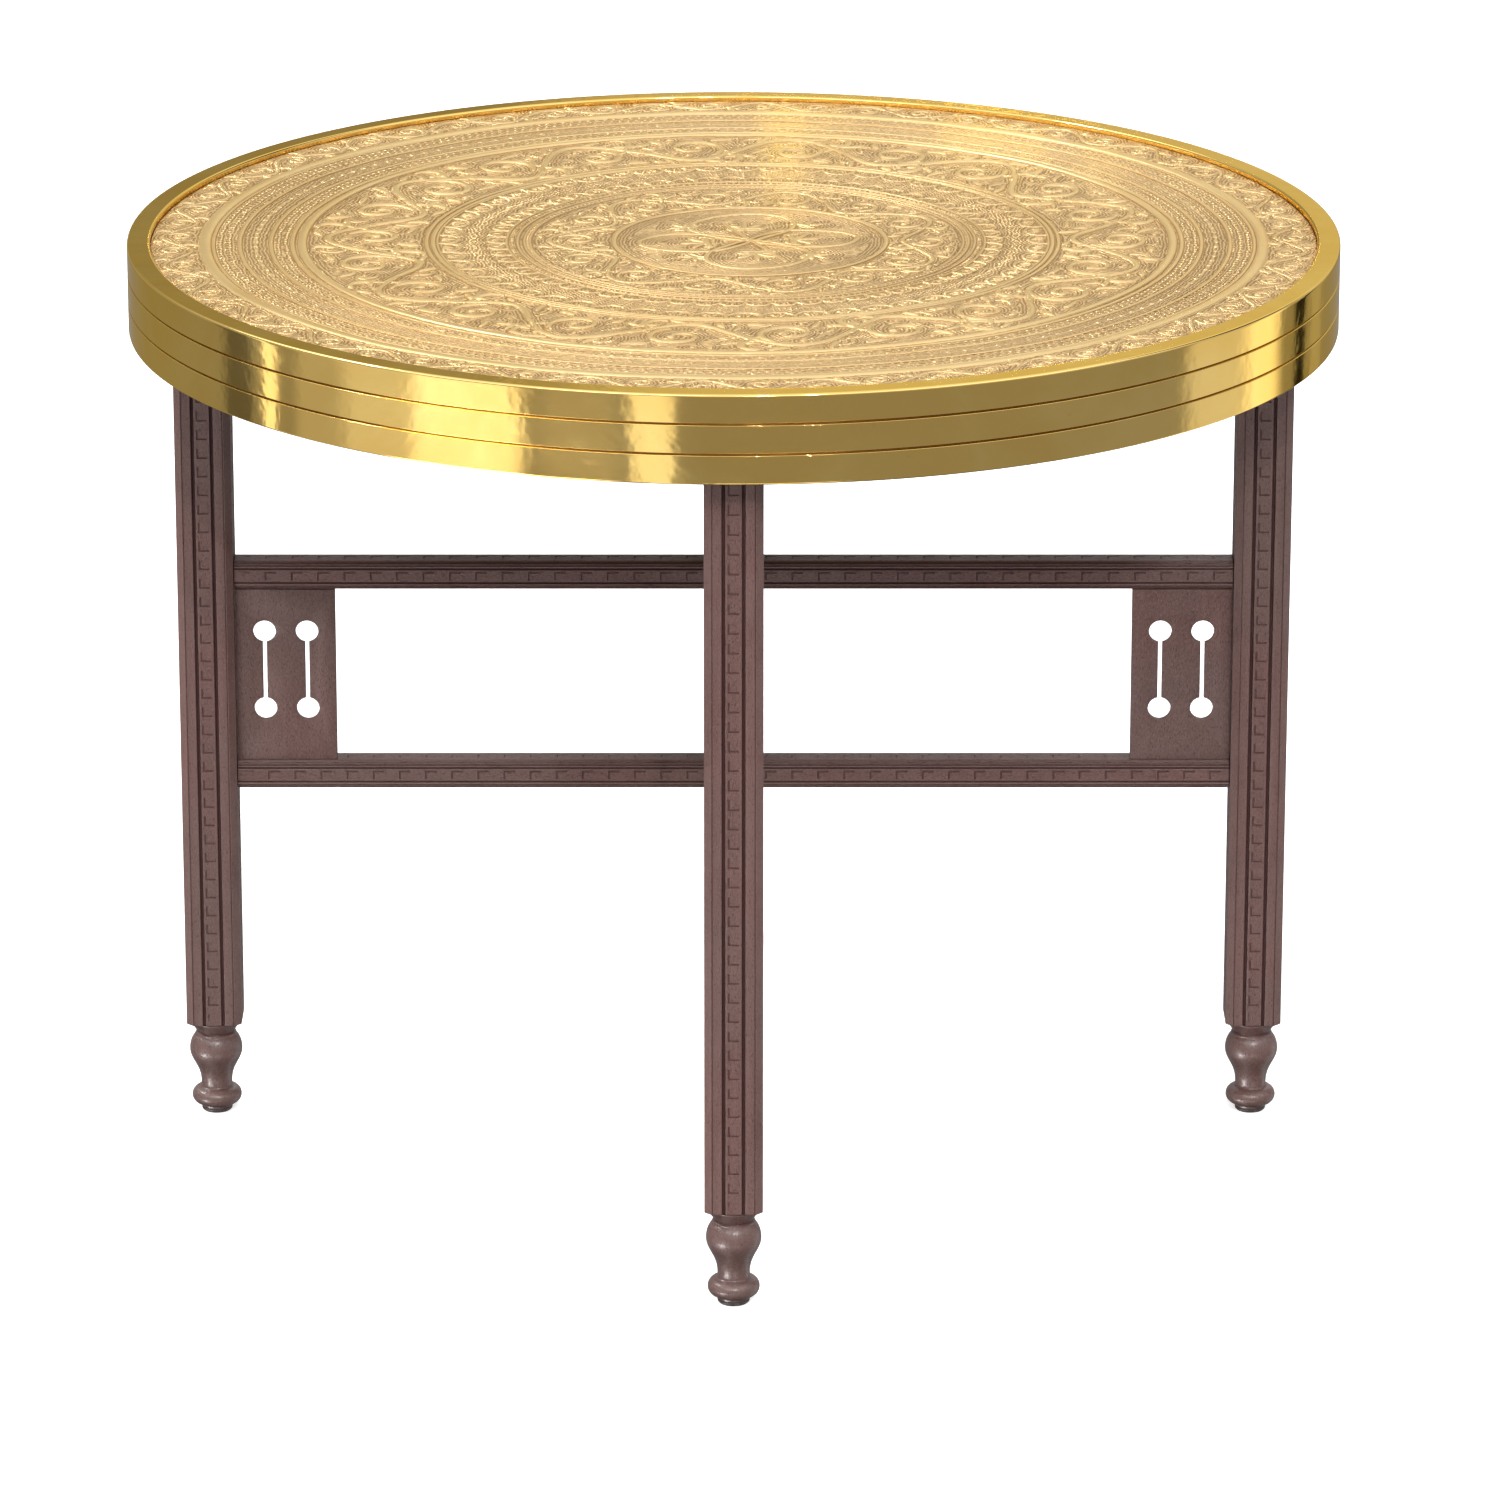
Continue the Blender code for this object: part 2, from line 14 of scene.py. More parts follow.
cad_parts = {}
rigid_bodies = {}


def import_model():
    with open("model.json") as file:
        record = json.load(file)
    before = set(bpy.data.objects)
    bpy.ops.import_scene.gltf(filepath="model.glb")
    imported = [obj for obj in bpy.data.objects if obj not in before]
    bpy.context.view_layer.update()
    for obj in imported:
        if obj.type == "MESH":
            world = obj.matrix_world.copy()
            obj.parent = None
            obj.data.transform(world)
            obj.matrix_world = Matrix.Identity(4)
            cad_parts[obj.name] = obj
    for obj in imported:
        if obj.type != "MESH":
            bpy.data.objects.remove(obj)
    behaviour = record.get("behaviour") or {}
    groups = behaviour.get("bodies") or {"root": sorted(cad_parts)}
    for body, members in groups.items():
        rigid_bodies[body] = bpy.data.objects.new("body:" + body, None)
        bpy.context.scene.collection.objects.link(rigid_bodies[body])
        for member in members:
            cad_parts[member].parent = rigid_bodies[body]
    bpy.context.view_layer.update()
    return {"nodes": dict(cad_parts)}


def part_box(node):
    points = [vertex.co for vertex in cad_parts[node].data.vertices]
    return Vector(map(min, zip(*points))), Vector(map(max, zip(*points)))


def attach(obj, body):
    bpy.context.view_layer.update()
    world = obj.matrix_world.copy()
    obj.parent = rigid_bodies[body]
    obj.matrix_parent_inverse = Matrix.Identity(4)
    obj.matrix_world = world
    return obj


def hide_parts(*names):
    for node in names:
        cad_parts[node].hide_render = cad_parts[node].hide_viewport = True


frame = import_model()

MM = 0.001
TAU = 2 * math.pi
chance = np.random.default_rng(24)


# ---- mesh helpers

def new_object(name, mesh, material, smooth_angle=None):
    """Link a mesh as an object with one material, smooth but for edges over smooth_angle."""
    mesh.materials.clear()
    mesh.materials.append(material)
    if smooth_angle is not None:
        mesh.shade_smooth()
        mesh.set_sharp_from_angle(angle=math.radians(smooth_angle))
    obj = bpy.data.objects.new(name, mesh)
    bpy.context.scene.collection.objects.link(obj)
    return obj


def mesh_from_arrays(name, verts, quads):
    """A mesh from an (n, 3) array of points and an (m, 4) array of quads."""
    mesh = bpy.data.meshes.new(name)
    mesh.vertices.add(len(verts))
    mesh.vertices.foreach_set("co", np.asarray(verts, np.float32).ravel())
    mesh.loops.add(quads.size)
    mesh.loops.foreach_set("vertex_index", quads.astype(np.int32).ravel())
    mesh.polygons.add(len(quads))
    mesh.polygons.foreach_set("loop_start", np.arange(0, quads.size, 4, dtype=np.int32))
    mesh.update(calc_edges=True)
    mesh.polygons.foreach_set("use_smooth", np.ones(len(quads), bool))
    return mesh


def point_attribute(mesh, name, values):
    layer = mesh.attributes.new(name, "FLOAT", "POINT")
    layer.data.foreach_set("value", np.asarray(values, np.float32).ravel())


def ring_quads(rows, count, closed_rows=False):
    """Quads between successive rings of count points; rings may close on the first one."""
    i = np.arange(rows if closed_rows else rows - 1)[:, None]
    j = np.arange(count)[None, :]
    following = (i + 1) % rows
    beside = (j + 1) % count
    return np.stack([i * count + j, i * count + beside, following * count + beside,
                     following * count + j], -1).reshape(-1, 4)


def rounded(profile, radius, steps=3):
    """Round the corners of a polyline, with a support point just before and after each arc."""
    points = [Vector(p) for p in profile]
    out = [tuple(points[0])]
    for before, corner, after in zip(points, points[1:], points[2:]):
        one = (before - corner)
        two = (after - corner)
        turn = one.angle(two)
        reach = min(radius / math.tan(turn / 2), 0.42 * one.length, 0.42 * two.length)
        if turn > math.radians(170):
            out.append(tuple(corner))
            continue
        start = corner + one.normalized() * reach
        end = corner + two.normalized() * reach
        hold = 0.25 * reach
        out.append(tuple(start + one.normalized() * hold))
        for k in range(steps + 1):
            t = k / steps
            out.append(tuple((1 - t) ** 2 * start + 2 * t * (1 - t) * corner + t * t * end))
        out.append(tuple(end + two.normalized() * hold))
    out.append(tuple(points[-1]))
    return out


def lathe(name, profile, count, material, closed=False):
    """Turn a profile of (radius, height) pairs in millimetres about Z."""
    section = np.array(profile) * MM
    angle = np.arange(count) * TAU / count
    verts = np.stack([section[:, :1] * np.cos(angle), section[:, :1] * np.sin(angle),
                      np.repeat(section[:, 1:], count, 1)], -1).reshape(-1, 3)
    quads = ring_quads(len(section), count, closed)[:, ::-1]
    mesh = mesh_from_arrays(name, verts, quads)
    shape = bmesh.new()
    shape.from_mesh(mesh)
    bmesh.ops.remove_doubles(shape, verts=shape.verts, dist=1e-7)
    bmesh.ops.recalc_face_normals(shape, faces=shape.faces)
    shape.to_mesh(mesh)
    shape.free()
    return new_object(name, mesh, material, 40)


def stand_for(obj, node, body):
    """Let a new piece replace a CAD node and ride on its body."""
    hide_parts(node)
    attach(obj, body)


def carry_over(node, material):
    """Show a CAD node as it is, with a detailed material."""
    obj = frame["nodes"][node]
    obj.data.materials.clear()
    obj.data.materials.append(material)


def places_of(mesh):
    """The mesh's points in millimetres, and their distances from its Z axis."""
    co = np.array([v.co for v in mesh.vertices]) / MM
    return co, np.hypot(co[:, 0], co[:, 1])


def place_copy(name, mesh, matrix, node, body):
    """One more object of a shared mesh, placed, that stands for a CAD node."""
    piece = bpy.data.objects.new(name, mesh)
    bpy.context.scene.collection.objects.link(piece)
    piece.matrix_world = matrix
    stand_for(piece, node, body)


# ---- material helpers

class Nodes:
    """Short calls that add nodes to one node tree."""

    def __init__(self, tree):
        self.tree = tree

    def node(self, kind, **settings):
        made = self.tree.nodes.new("ShaderNode" + kind)
        for key, value in settings.items():
            setattr(made, key, value)
        return made

    def put(self, socket, value):
        if isinstance(value, bpy.types.NodeSocket):
            self.tree.links.new(value, socket)
        elif value is not None:
            socket.default_value = value

    def math(self, operation, *values):
        made = self.node("Math", operation=operation)
        for socket, value in zip(made.inputs, values):
            self.put(socket, value)
        return made.outputs[0]

    def times(self, first, second, plus=None):
        """first * second, or first * second + plus."""
        if plus is None:
            return self.math("MULTIPLY", first, second)
        return self.math("MULTIPLY_ADD", first, second, plus)

    def vector(self, operation, *values):
        made = self.node("VectorMath", operation=operation)
        for socket, value in zip(made.inputs, values):
            self.put(socket, value)
        return made.outputs["Value" if operation in ("LENGTH", "DOT_PRODUCT") else "Vector"]

    def combine(self, x, y, z):
        made = self.node("CombineXYZ")
        for socket, value in zip(made.inputs, (x, y, z)):
            self.put(socket, value)
        return made.outputs[0]

    def split(self, vector):
        made = self.node("SeparateXYZ")
        self.put(made.inputs[0], vector)
        return made.outputs

    def noise(self, vector, scale, detail=2.0, roughness=0.5, distortion=0.0):
        made = self.node("TexNoise")
        self.put(made.inputs["Vector"], vector)
        self.put(made.inputs["Scale"], scale)
        self.put(made.inputs["Detail"], detail)
        self.put(made.inputs["Roughness"], roughness)
        self.put(made.inputs["Distortion"], distortion)
        return made.outputs[0]

    def cells(self, vector, scale, feature="F1"):
        made = self.node("TexVoronoi", feature=feature)
        self.put(made.inputs["Vector"], vector)
        self.put(made.inputs["Scale"], scale)
        return made.outputs["Distance"]

    def window(self, value, start, end, low=0.0, high=1.0):
        """Smooth step of value from low at start to high at end."""
        made = self.node("MapRange", interpolation_type="SMOOTHSTEP")
        for socket, given in zip(made.inputs, (value, start, end, low, high)):
            self.put(socket, given)
        return made.outputs[0]

    def band(self, value, centre, half, soft):
        """1 within half of the centre, falling smoothly to 0 over soft on either side."""
        gap = self.math("ABSOLUTE", self.math("SUBTRACT", value, centre))
        return self.window(gap, half + soft / 2, half - soft / 2)

    def mix(self, factor, first, second):
        """Blend two colours, each a socket or (r, g, b)."""
        made = self.node("Mix", data_type="RGBA")
        self.put(made.inputs[0], factor)
        for socket, colour in zip((made.inputs[6], made.inputs[7]), (first, second)):
            self.put(socket, (*colour, 1.0) if isinstance(colour, tuple) else colour)
        return made.outputs[2]


class Surface(Nodes):
    """A node material: everything feeds one Principled shader."""

    def __init__(self, name, **sockets):
        self.material = bpy.data.materials.new(name)
        self.material.use_nodes = True
        super().__init__(self.material.node_tree)
        self.shader = self.tree.nodes["Principled BSDF"]
        for socket, value in sockets.items():
            self.shader.inputs[socket.replace("_", " ")].default_value = value

    def set(self, socket, value):
        self.put(self.shader.inputs[socket], value)

    def coordinates(self, scale=(1.0, 1.0, 1.0)):
        """Object coordinates, stretched, and shifted by where the object stands."""
        place = self.node("TexCoord").outputs["Object"]
        shift = self.vector("SCALE", self.node("ObjectInfo").outputs["Location"])
        shift.node.inputs["Scale"].default_value = 7.3
        return self.vector("MULTIPLY", self.vector("ADD", place, shift), scale)

    def attribute(self, name):
        return self.node("Attribute", attribute_name=name).outputs["Fac"]

    def bump(self, height, depth, before=None):
        """Normals for a height between 0 and 1 that stands for depth in metres."""
        made = self.node("Bump")
        self.put(made.inputs["Height"], height)
        made.inputs["Distance"].default_value = depth
        self.put(made.inputs["Normal"], before)
        return made.outputs[0]


# ---- materials

def stained_wood(name, roughness, coat=0.0):
    """Dark brown stained hardwood: fine flecked grain, pores, mottling, worn edges, grooves painted
    dark for shade.

    The grain runs along the piece's own Z.  The point attribute wear is 1 on crisp edges, and
    the groove shade attribute is 1 in the bottom of a groove, where shade is painted into the
    colour.
    """
    s = Surface(name, Coat_Weight=coat, Coat_Roughness=0.24, Specular_IOR_Level=0.50)
    along = s.coordinates((1.0, 1.0, 0.10))
    short = s.coordinates((1.0, 1.0, 0.30))
    place = s.coordinates()
    streaks = s.noise(along, 420, 5, 0.65, 0.4)
    broad = s.noise(along, 60, 3, 0.5, 0.8)
    mottle = s.noise(place, 45, 4, 0.6)
    pores = s.window(s.noise(short, 1700, 2, 0.6), 0.55, 0.68)
    fleck = s.noise(s.coordinates((1.0, 1.0, 0.55)), 1500, 2, 0.7)
    tone = s.times(streaks, 0.60, s.times(broad, 0.40))
    colour = s.mix(s.window(tone, 0.34, 0.68), (0.103, 0.043, 0.037), (0.142, 0.067, 0.057))
    colour = s.mix(s.window(mottle, 0.35, 0.72, 0.0, 0.30), colour, (0.118, 0.060, 0.053))
    drift = s.window(s.noise(place, 9, 3, 0.5), 0.38, 0.62)
    colour = s.mix(s.times(drift, 0.55), colour, (0.106, 0.066, 0.057))
    colour = s.mix(s.window(fleck, 0.45, 0.68, 0.0, 0.55), colour, (0.200, 0.110, 0.096))
    colour = s.mix(s.times(pores, 0.55), colour, (0.034, 0.012, 0.010))
    worn = s.times(s.attribute("wear"), s.window(mottle, 0.30, 0.60, 0.15, 0.75))
    colour = s.mix(s.times(worn, 0.45), colour, (0.220, 0.133, 0.118))
    # Painted shade: grooves, hollows and engraved hooks are darkened almost to black by the groove
    # shade attribute.
    groove_shade = s.attribute("groove_shade")
    colour = s.mix(s.times(groove_shade, 0.92), colour, (0.052, 0.016, 0.013))
    s.set("Base Color", colour)
    shine = s.times(s.noise(place, 90, 3, 0.6), 0.16, roughness - 0.08)
    shine = s.times(pores, 0.14, shine)
    s.set("Roughness", s.times(worn, -0.08, shine))
    relief = s.math("SUBTRACT", s.times(streaks, 0.5), s.times(pores, 0.8))
    normal = s.bump(relief, 0.00012)
    s.set("Normal", s.bump(fleck, 0.00007, normal))
    return s.material


def rim_brass():
    """Polished brass sheet: fine lines round the rim, faint smudges, painted shade in the grooves.
    """
    s = Surface("rim_brass_polished", Metallic=1.0)
    s.shader.inputs["Specular Tint"].default_value = (0.95, 0.80, 0.45, 1.0)
    place = s.node("TexCoord").outputs["Object"]
    x, y, z = s.split(place)
    turn = s.math("ARCTAN2", y, x)
    around = s.combine(s.times(turn, 1.6), s.times(z, 420.0), 0.0)
    lines = s.noise(around, 5.0, 4, 0.6)
    smudge = s.noise(place, 16, 4, 0.6, 0.4)
    spots = s.window(s.noise(place, 240, 3, 0.6), 0.66, 0.78)
    colour = s.mix(s.window(smudge, 0.35, 0.70), (0.860, 0.570, 0.165), (0.910, 0.640, 0.215))
    colour = s.mix(s.times(spots, 0.20), colour, (0.520, 0.320, 0.110))
    # Painted shade: the grooves between the rim's bands are painted deep brown.
    colour = s.mix(s.attribute("groove_shade"), colour, (0.200, 0.090, 0.015))
    worn = s.times(s.attribute("wear"), 0.4)
    colour = s.mix(worn, colour, (0.950, 0.740, 0.330))
    s.set("Base Color", colour)
    shine = s.window(smudge, 0.30, 0.75, 0.050, 0.095)
    shine = s.times(lines, 0.03, shine)
    s.set("Roughness", s.times(s.attribute("groove_shade"), 0.25, shine))
    normal = s.bump(lines, 0.000006)
    normal = s.bump(s.noise(place, 11, 2, 0.5), 0.00060, normal)
    ripple = s.times(s.noise(place, 95, 2, 0.5), s.window(smudge, 0.40, 0.60))
    s.set("Normal", s.bump(ripple, 0.00012, normal))
    return s.material


def embossed_brass():
    """Embossed brass: bright rubbed relief, dull punched ground, painted shade beside the strokes.

    The point attribute relief is the height over the ground in millimetres, and outline the
    distance from the nearest raised stroke or ring in millimetres.
    """
    s = Surface("tray_brass_embossed", Metallic=1.0, Coat_Weight=0.14, Coat_Roughness=0.03)
    s.shader.inputs["Specular Tint"].default_value = (0.95, 0.82, 0.52, 1.0)
    place = s.node("TexCoord").outputs["Object"]
    relief = s.attribute("relief")
    outline = s.attribute("outline")
    cloud = s.noise(place, 14, 4, 0.6, 0.5)
    grit = s.noise(place, 1000, 3, 0.7)
    fleck = s.window(s.noise(place, 560, 2, 0.6), 0.42, 0.60)
    punch = s.window(s.cells(place, 640), 0.10, 0.55)
    wander = s.times(s.noise(place, 170, 2, 0.6), 3.0, outline)
    echo = s.math("SINE", s.times(wander, TAU / 1.75))
    echo = s.times(echo, s.window(outline, 0.2, 0.8))
    low = s.window(relief, 0.40, 0.05)
    ground = s.mix(s.window(cloud, 0.35, 0.70), (0.725, 0.492, 0.250), (0.800, 0.560, 0.295))
    ground = s.mix(s.times(fleck, 0.40), ground, (0.560, 0.360, 0.165))
    # The echo lines chased round the strokes: painted shade in their hollows and a painted
    # highlight on their crests; the bump below gives their real relief.
    ground = s.mix(s.window(echo, -0.1, -0.8, 0.0, 0.75), ground, (0.360, 0.215, 0.085))
    ground = s.mix(s.window(echo, 0.3, 1.0, 0.0, 0.60), ground, (0.980, 0.760, 0.410))
    raised = s.mix(s.window(cloud, 0.30, 0.70), (0.855, 0.622, 0.298), (0.905, 0.688, 0.356))
    colour = s.mix(s.window(relief, 0.06, 0.36), ground, raised)
    # Painted shade: the ground right beside each stroke and ring is darkened to a brown outline.
    beside = s.times(s.window(outline, 0.9, 0.0), s.window(relief, 0.22, 0.0))
    colour = s.mix(s.times(beside, 0.80), colour, (0.330, 0.180, 0.060))
    s.set("Base Color", colour)
    shine = s.window(relief, 0.05, 0.45, 0.40, 0.36)
    s.set("Roughness", s.times(grit, 0.10, shine))
    fine = s.times(punch, 0.9, s.times(grit, 0.8))
    normal = s.bump(s.times(fine, low), 0.00030)
    s.set("Normal", s.bump(s.times(echo, low), 0.00030, normal))
    # The lacquer has flowed level over the relief.
    level = s.bump(s.noise(place, 260, 2, 0.5), 0.00002, s.combine(0.0, 0.0, 1.0))
    s.set("Coat Normal", level)
    return s.material


def bare_plywood():
    """Under the tray: birch-faced plywood with long grain, plies on its edge and a few marks."""
    s = Surface("board_plywood_bare", Specular_IOR_Level=0.3)
    place = s.node("TexCoord").outputs["Object"]
    along = s.vector("MULTIPLY", place, (1.0, 0.06, 1.0))
    grain = s.noise(along, 90, 6, 0.65, 1.4)
    fine = s.noise(s.vector("MULTIPLY", place, (1.0, 0.05, 1.0)), 900, 3, 0.6)
    plies = s.math("SINE", s.times(s.split(place)[2], TAU / 0.0024))
    colour = s.mix(s.window(grain, 0.32, 0.70), (0.440, 0.285, 0.155), (0.640, 0.460, 0.280))
    colour = s.mix(s.window(fine, 0.50, 0.75, 0.0, 0.4), colour, (0.330, 0.200, 0.100))
    colour = s.mix(s.window(plies, -0.2, 0.5, 0.25, 0.0), colour, (0.270, 0.160, 0.080))
    s.set("Base Color", colour)
    s.set("Roughness", s.window(fine, 0.2, 0.8, 0.62, 0.80))
    s.set("Normal", s.bump(fine, 0.00015))
    return s.material


def pressed_felt():
    s = Surface("pad_felt_brown", Sheen_Weight=0.6, Sheen_Roughness=0.5, Specular_IOR_Level=0.1)
    place = s.coordinates()
    fibre = s.noise(place, 2200, 5, 0.75, 1.5)
    clumps = s.noise(place, 420, 3, 0.6)
    s.set("Base Color", s.mix(fibre, (0.045, 0.026, 0.020), (0.150, 0.095, 0.075)))
    s.set("Roughness", s.window(clumps, 0.2, 0.8, 0.86, 0.98))
    s.set("Normal", s.bump(s.math("ADD", fibre, clumps), 0.0003))
    return s.material


def glide_plastic():
    """Moulded plastic glide: fine grain, scuffed paler round its worn rim."""
    s = Surface("glide_plastic_brown", Specular_IOR_Level=0.45)
    place = s.coordinates()
    grain = s.noise(place, 1800, 2, 0.6)
    scuff = s.noise(s.coordinates((1.0, 1.0, 0.3)), 300, 4, 0.7)
    worn = s.times(s.window(s.split(place)[2], 0.0030, 0.0, 0.0, 0.8),
                   s.window(scuff, 0.45, 0.65))
    s.set("Base Color", s.mix(worn, (0.050, 0.038, 0.034), (0.150, 0.120, 0.110)))
    s.set("Roughness", s.window(scuff, 0.3, 0.7, 0.40, 0.62))
    s.set("Normal", s.bump(grain, 0.00005))
    return s.material


def zinc_plate():
    """Zinc-plated steel: faint bluish and straw clouds, fine turning marks, dull rubbed spots."""
    s = Surface("pivot_zinc_plate", Metallic=1.0)
    place = s.coordinates()
    cloud = s.noise(place, 160, 3, 0.6, 0.8)
    fine = s.noise(place, 1700, 4, 0.7)
    colour = s.mix(s.window(cloud, 0.35, 0.65), (0.500, 0.510, 0.530), (0.600, 0.575, 0.500))
    colour = s.mix(s.window(fine, 0.62, 0.78, 0.0, 0.5), colour, (0.300, 0.290, 0.270))
    s.set("Base Color", colour)
    s.set("Roughness", s.window(fine, 0.25, 0.75, 0.24, 0.40))
    s.set("Normal", s.bump(fine, 0.00003))
    return s.material


def pale_floor():
    s = Surface("floor_paper_white", Specular_IOR_Level=0.15, Emission_Strength=0.55)
    s.shader.inputs["Emission Color"].default_value = (1.0, 1.0, 1.0, 1.0)
    fibre = s.noise(s.node("TexCoord").outputs["Object"], 60, 4, 0.6)
    s.set("Base Color", s.mix(fibre, (0.900, 0.900, 0.900), (0.915, 0.915, 0.915)))
    s.set("Roughness", s.window(fibre, 0.2, 0.8, 0.80, 0.86))
    return s.material


# ---- embossed pattern

PATTERN_DRIFT = (11.0, -10.0)       # how far off centre the middle of the pattern was struck
DRIFT_ENDS = 261.0                  # radius from which the pattern is centred on the tray
DRIFT_HOLDS = 67.0                  # inside this radius the drift is the same everywhere
FIELD_RADIUS = 288.1                # the embossed field, just inside the rim's lip
FLANGE_RADIUS = 296.0
SLAB_DEPTH = 1.0                    # from the ground of the pattern down to the sheet's back
FLANGE_DROP = 0.62
WAVE_LENGTHS = (140.0, 95.0, 62.0, 41.0)
CENTRE_HOLE = 0.6                   # radius of the hole that a polar grid leaves in the middle

# Raised rings: radius, half width, height
RINGS = [
    (261.5, 2.3, 0.95), (257.4, 0.75, 0.45), (244.9, 0.85, 0.50), (230.1, 0.85, 0.50),
    (219.9, 0.95, 0.55), (215.4, 1.75, 0.95), (156.3, 0.85, 0.50), (153.2, 0.95, 0.45),
    (151.2, 0.60, 0.35), (118.4, 0.60, 0.32), (113.2, 0.60, 0.32), (109.9, 0.60, 0.30),
    (107.2, 0.60, 0.30), (67.3, 1.05, 0.60),
]


class Strokes:
    """Raised strokes in the plane of the pattern, kept as rows of (x, y, half width, height)."""

    def __init__(self):
        self.rows = []

    def add(self, points, half_width, height):
        points = np.asarray(points, float)
        half_width = np.broadcast_to(half_width, len(points))
        height = np.broadcast_to(height, len(points))
        self.rows.append(np.column_stack([points, half_width, height]))

    def all(self):
        return np.concatenate(self.rows)


def spaced(points, step=0.55):
    """Points of a polyline moved to equal steps along it."""
    points = np.asarray(points, float)
    run = np.concatenate([[0.0], np.cumsum(np.hypot(*np.diff(points, axis=0).T))])
    at = np.linspace(0.0, run[-1], max(3, int(run[-1] / step) + 1))
    return np.column_stack([np.interp(at, run, points[:, 0]), np.interp(at, run, points[:, 1])])


def bent_line(start, heading, length, bend_start, bend_end, steps=60):
    """A line whose bend, in radians over its length, changes evenly from one end to the other."""
    t = (np.arange(steps) + 0.5) / steps
    turn = heading + bend_start * t + (bend_end - bend_start) * t * t / 2
    move = np.column_stack([np.cos(turn), np.sin(turn)]) * length / steps
    return np.vstack([[start], np.asarray(start) + np.cumsum(move, axis=0)])


def swelling(count, thick, thin, peak=0.5):
    """Half widths of a stroke: thin at both ends, thick at peak along it."""
    t = np.linspace(0.0, 1.0, count)
    shape = np.where(t < peak, t / peak, (1 - t) / (1 - peak))
    return thin + (thick - thin) * np.sin(shape * math.pi / 2) ** 0.8


def on_band(points, radius, turn):
    """Lay local (along, outward) points on a band of that radius, about the angle turn."""
    points = np.asarray(points, float)
    angle = turn - points[:, 0] / radius
    distance = radius + points[:, 1]
    return np.column_stack([distance * np.cos(angle), distance * np.sin(angle)])


def scroll_band(strokes, radius, half_height, waves, thick, height, rich=True):
    """A band of running scrollwork: a waved stem with curls, hooks, leaves and dots.

    A rich band has tendrils and more leaves.
    """
    length = TAU * radius / waves
    for wave in range(waves):
        turn = TAU * wave / waves
        side = 1 if wave % 2 else -1
        vary = chance.uniform(0.85, 1.12, 12)

        def lay(points, width, thin, peak=0.5, crest=1.0):
            flat = spaced(np.asarray(points) * [1.0, side])
            placed = on_band(flat, radius, turn)
            strokes.add(placed, swelling(len(placed), width * thick, thin * thick, peak),
                        crest * height)

        def leaf(x, y, degrees, size, bend_start, bend_end, width=0.9, peak=0.42):
            lay(bent_line((x * length, y * half_height), math.radians(degrees),
                          size * half_height, bend_start, bend_end), width, 0.20, peak)

        # Stem: a high arch that starts beside the last one's end and overshoots the next.
        along = np.linspace(-0.57, 0.50, 50)
        rise = half_height * 0.80 * vary[0]
        stem = np.column_stack([along * length, rise * np.cos(along * math.pi) - 0.06 * rise])
        lay(stem, 0.95, 0.26, 0.30)
        # Curl inside the arch, one and a quarter turns, with a ball at its end.
        size = min(0.34 * length, 0.62 * half_height) * vary[1]
        t = np.linspace(0.0, 1.0, 90)
        spin = math.radians(60) - t * math.radians(440 + 70 * (vary[2] - 1))
        reach = size * (1 - 0.82 * t ** 0.85)
        curl = np.column_stack([0.05 * length + reach * np.cos(spin),
                                -0.14 * half_height + reach * np.sin(spin)])
        lay(curl, 0.85, 0.34, 0.22)
        eye = curl[-1] + [0.2, 0.0]
        lay([eye, eye + [0.5, 0.3], eye + [0.9, 0.3]], 1.05, 1.0)
        # Hook off the arch's back, with its barb.
        hook = bent_line((0.40 * length, 0.30 * half_height), math.radians(64 * vary[3]),
                         0.95 * half_height, -0.3, 5.2 * vary[4])
        lay(hook, 0.95, 0.22, 0.62)
        # Leaves on the arch's back and in the gap below.
        leaf(-0.33, 0.60, 66 * vary[5], 0.44 * vary[6], -0.4, 1.8)
        for lean in (-50, 0, 48):
            leaf(-0.50, -0.44, -90 + lean * vary[8], 0.36, 0.02 * lean, 0.0, 0.72, 0.55)
        if not rich:
            continue
        leaf(0.10, 0.88, 12, 0.36 * vary[7], 0.8, -0.6, 0.8)
        leaf(-0.20, -0.56, -150, 0.42 * vary[9], 1.5, 0.4, 0.8, 0.4)
        leaf(0.26, -0.72, -25 * vary[10], 0.42, 0.9, -0.9, 0.75, 0.5)
        # Thin tendrils, and dots between them.
        for x, y, degrees, run, bend in ((-0.44, 0.42, 118, 0.62, -3.4), (0.30, 0.02, 20, 0.5, 2.8),
                                         (-0.30, -0.16, -158, 0.5, 3.0)):
            lay(bent_line((x * length, y * half_height), math.radians(degrees * vary[11]),
                          run * half_height, 0.4 * bend, bend), 0.42, 0.24, 0.3, 0.7)
        for x, y in ((0.42, -0.80), (-0.06, 0.42), (-0.45, 0.12), (0.24, 0.66), (-0.12, -0.86)):
            spot = np.array([x * length, y * half_height]) + chance.uniform(-0.8, 0.8, 2)
            lay([spot, spot + [0.3, 0.3], spot + [0.6, 0.0]], 0.62, 0.5)


def arches(strokes, foot, depth, count, half_width, height, filled):
    """A ring of little arches that stand on radius foot and reach inward (depth < 0) or out."""
    pitch = TAU * foot / count
    t = np.linspace(0.0, math.pi, 30)
    for number in range(count):
        turn = TAU * number / count
        arch = np.column_stack([-0.49 * pitch * np.cos(t), depth * np.sin(t) ** 0.75])
        strokes.add(spaced(on_band(arch, foot, turn)), half_width, height)
        if filled:
            for lean in (-0.55, 0.0, 0.55):
                leaf = [(0.12 * lean * pitch, 0.16 * depth),
                        (0.30 * lean * pitch, 0.42 * depth),
                        (0.40 * lean * pitch, (0.74 - 0.25 * abs(lean)) * depth)]
                placed = spaced(on_band(leaf, foot, turn))
                strokes.add(placed, swelling(len(placed), 0.95 * half_width, 0.3), 0.8 * height)
        else:
            dot = on_band([(0.0, 0.40 * depth), (0.0, 0.62 * depth)], foot, turn)
            strokes.add(spaced(dot), 0.95 * half_width, 0.8 * height)


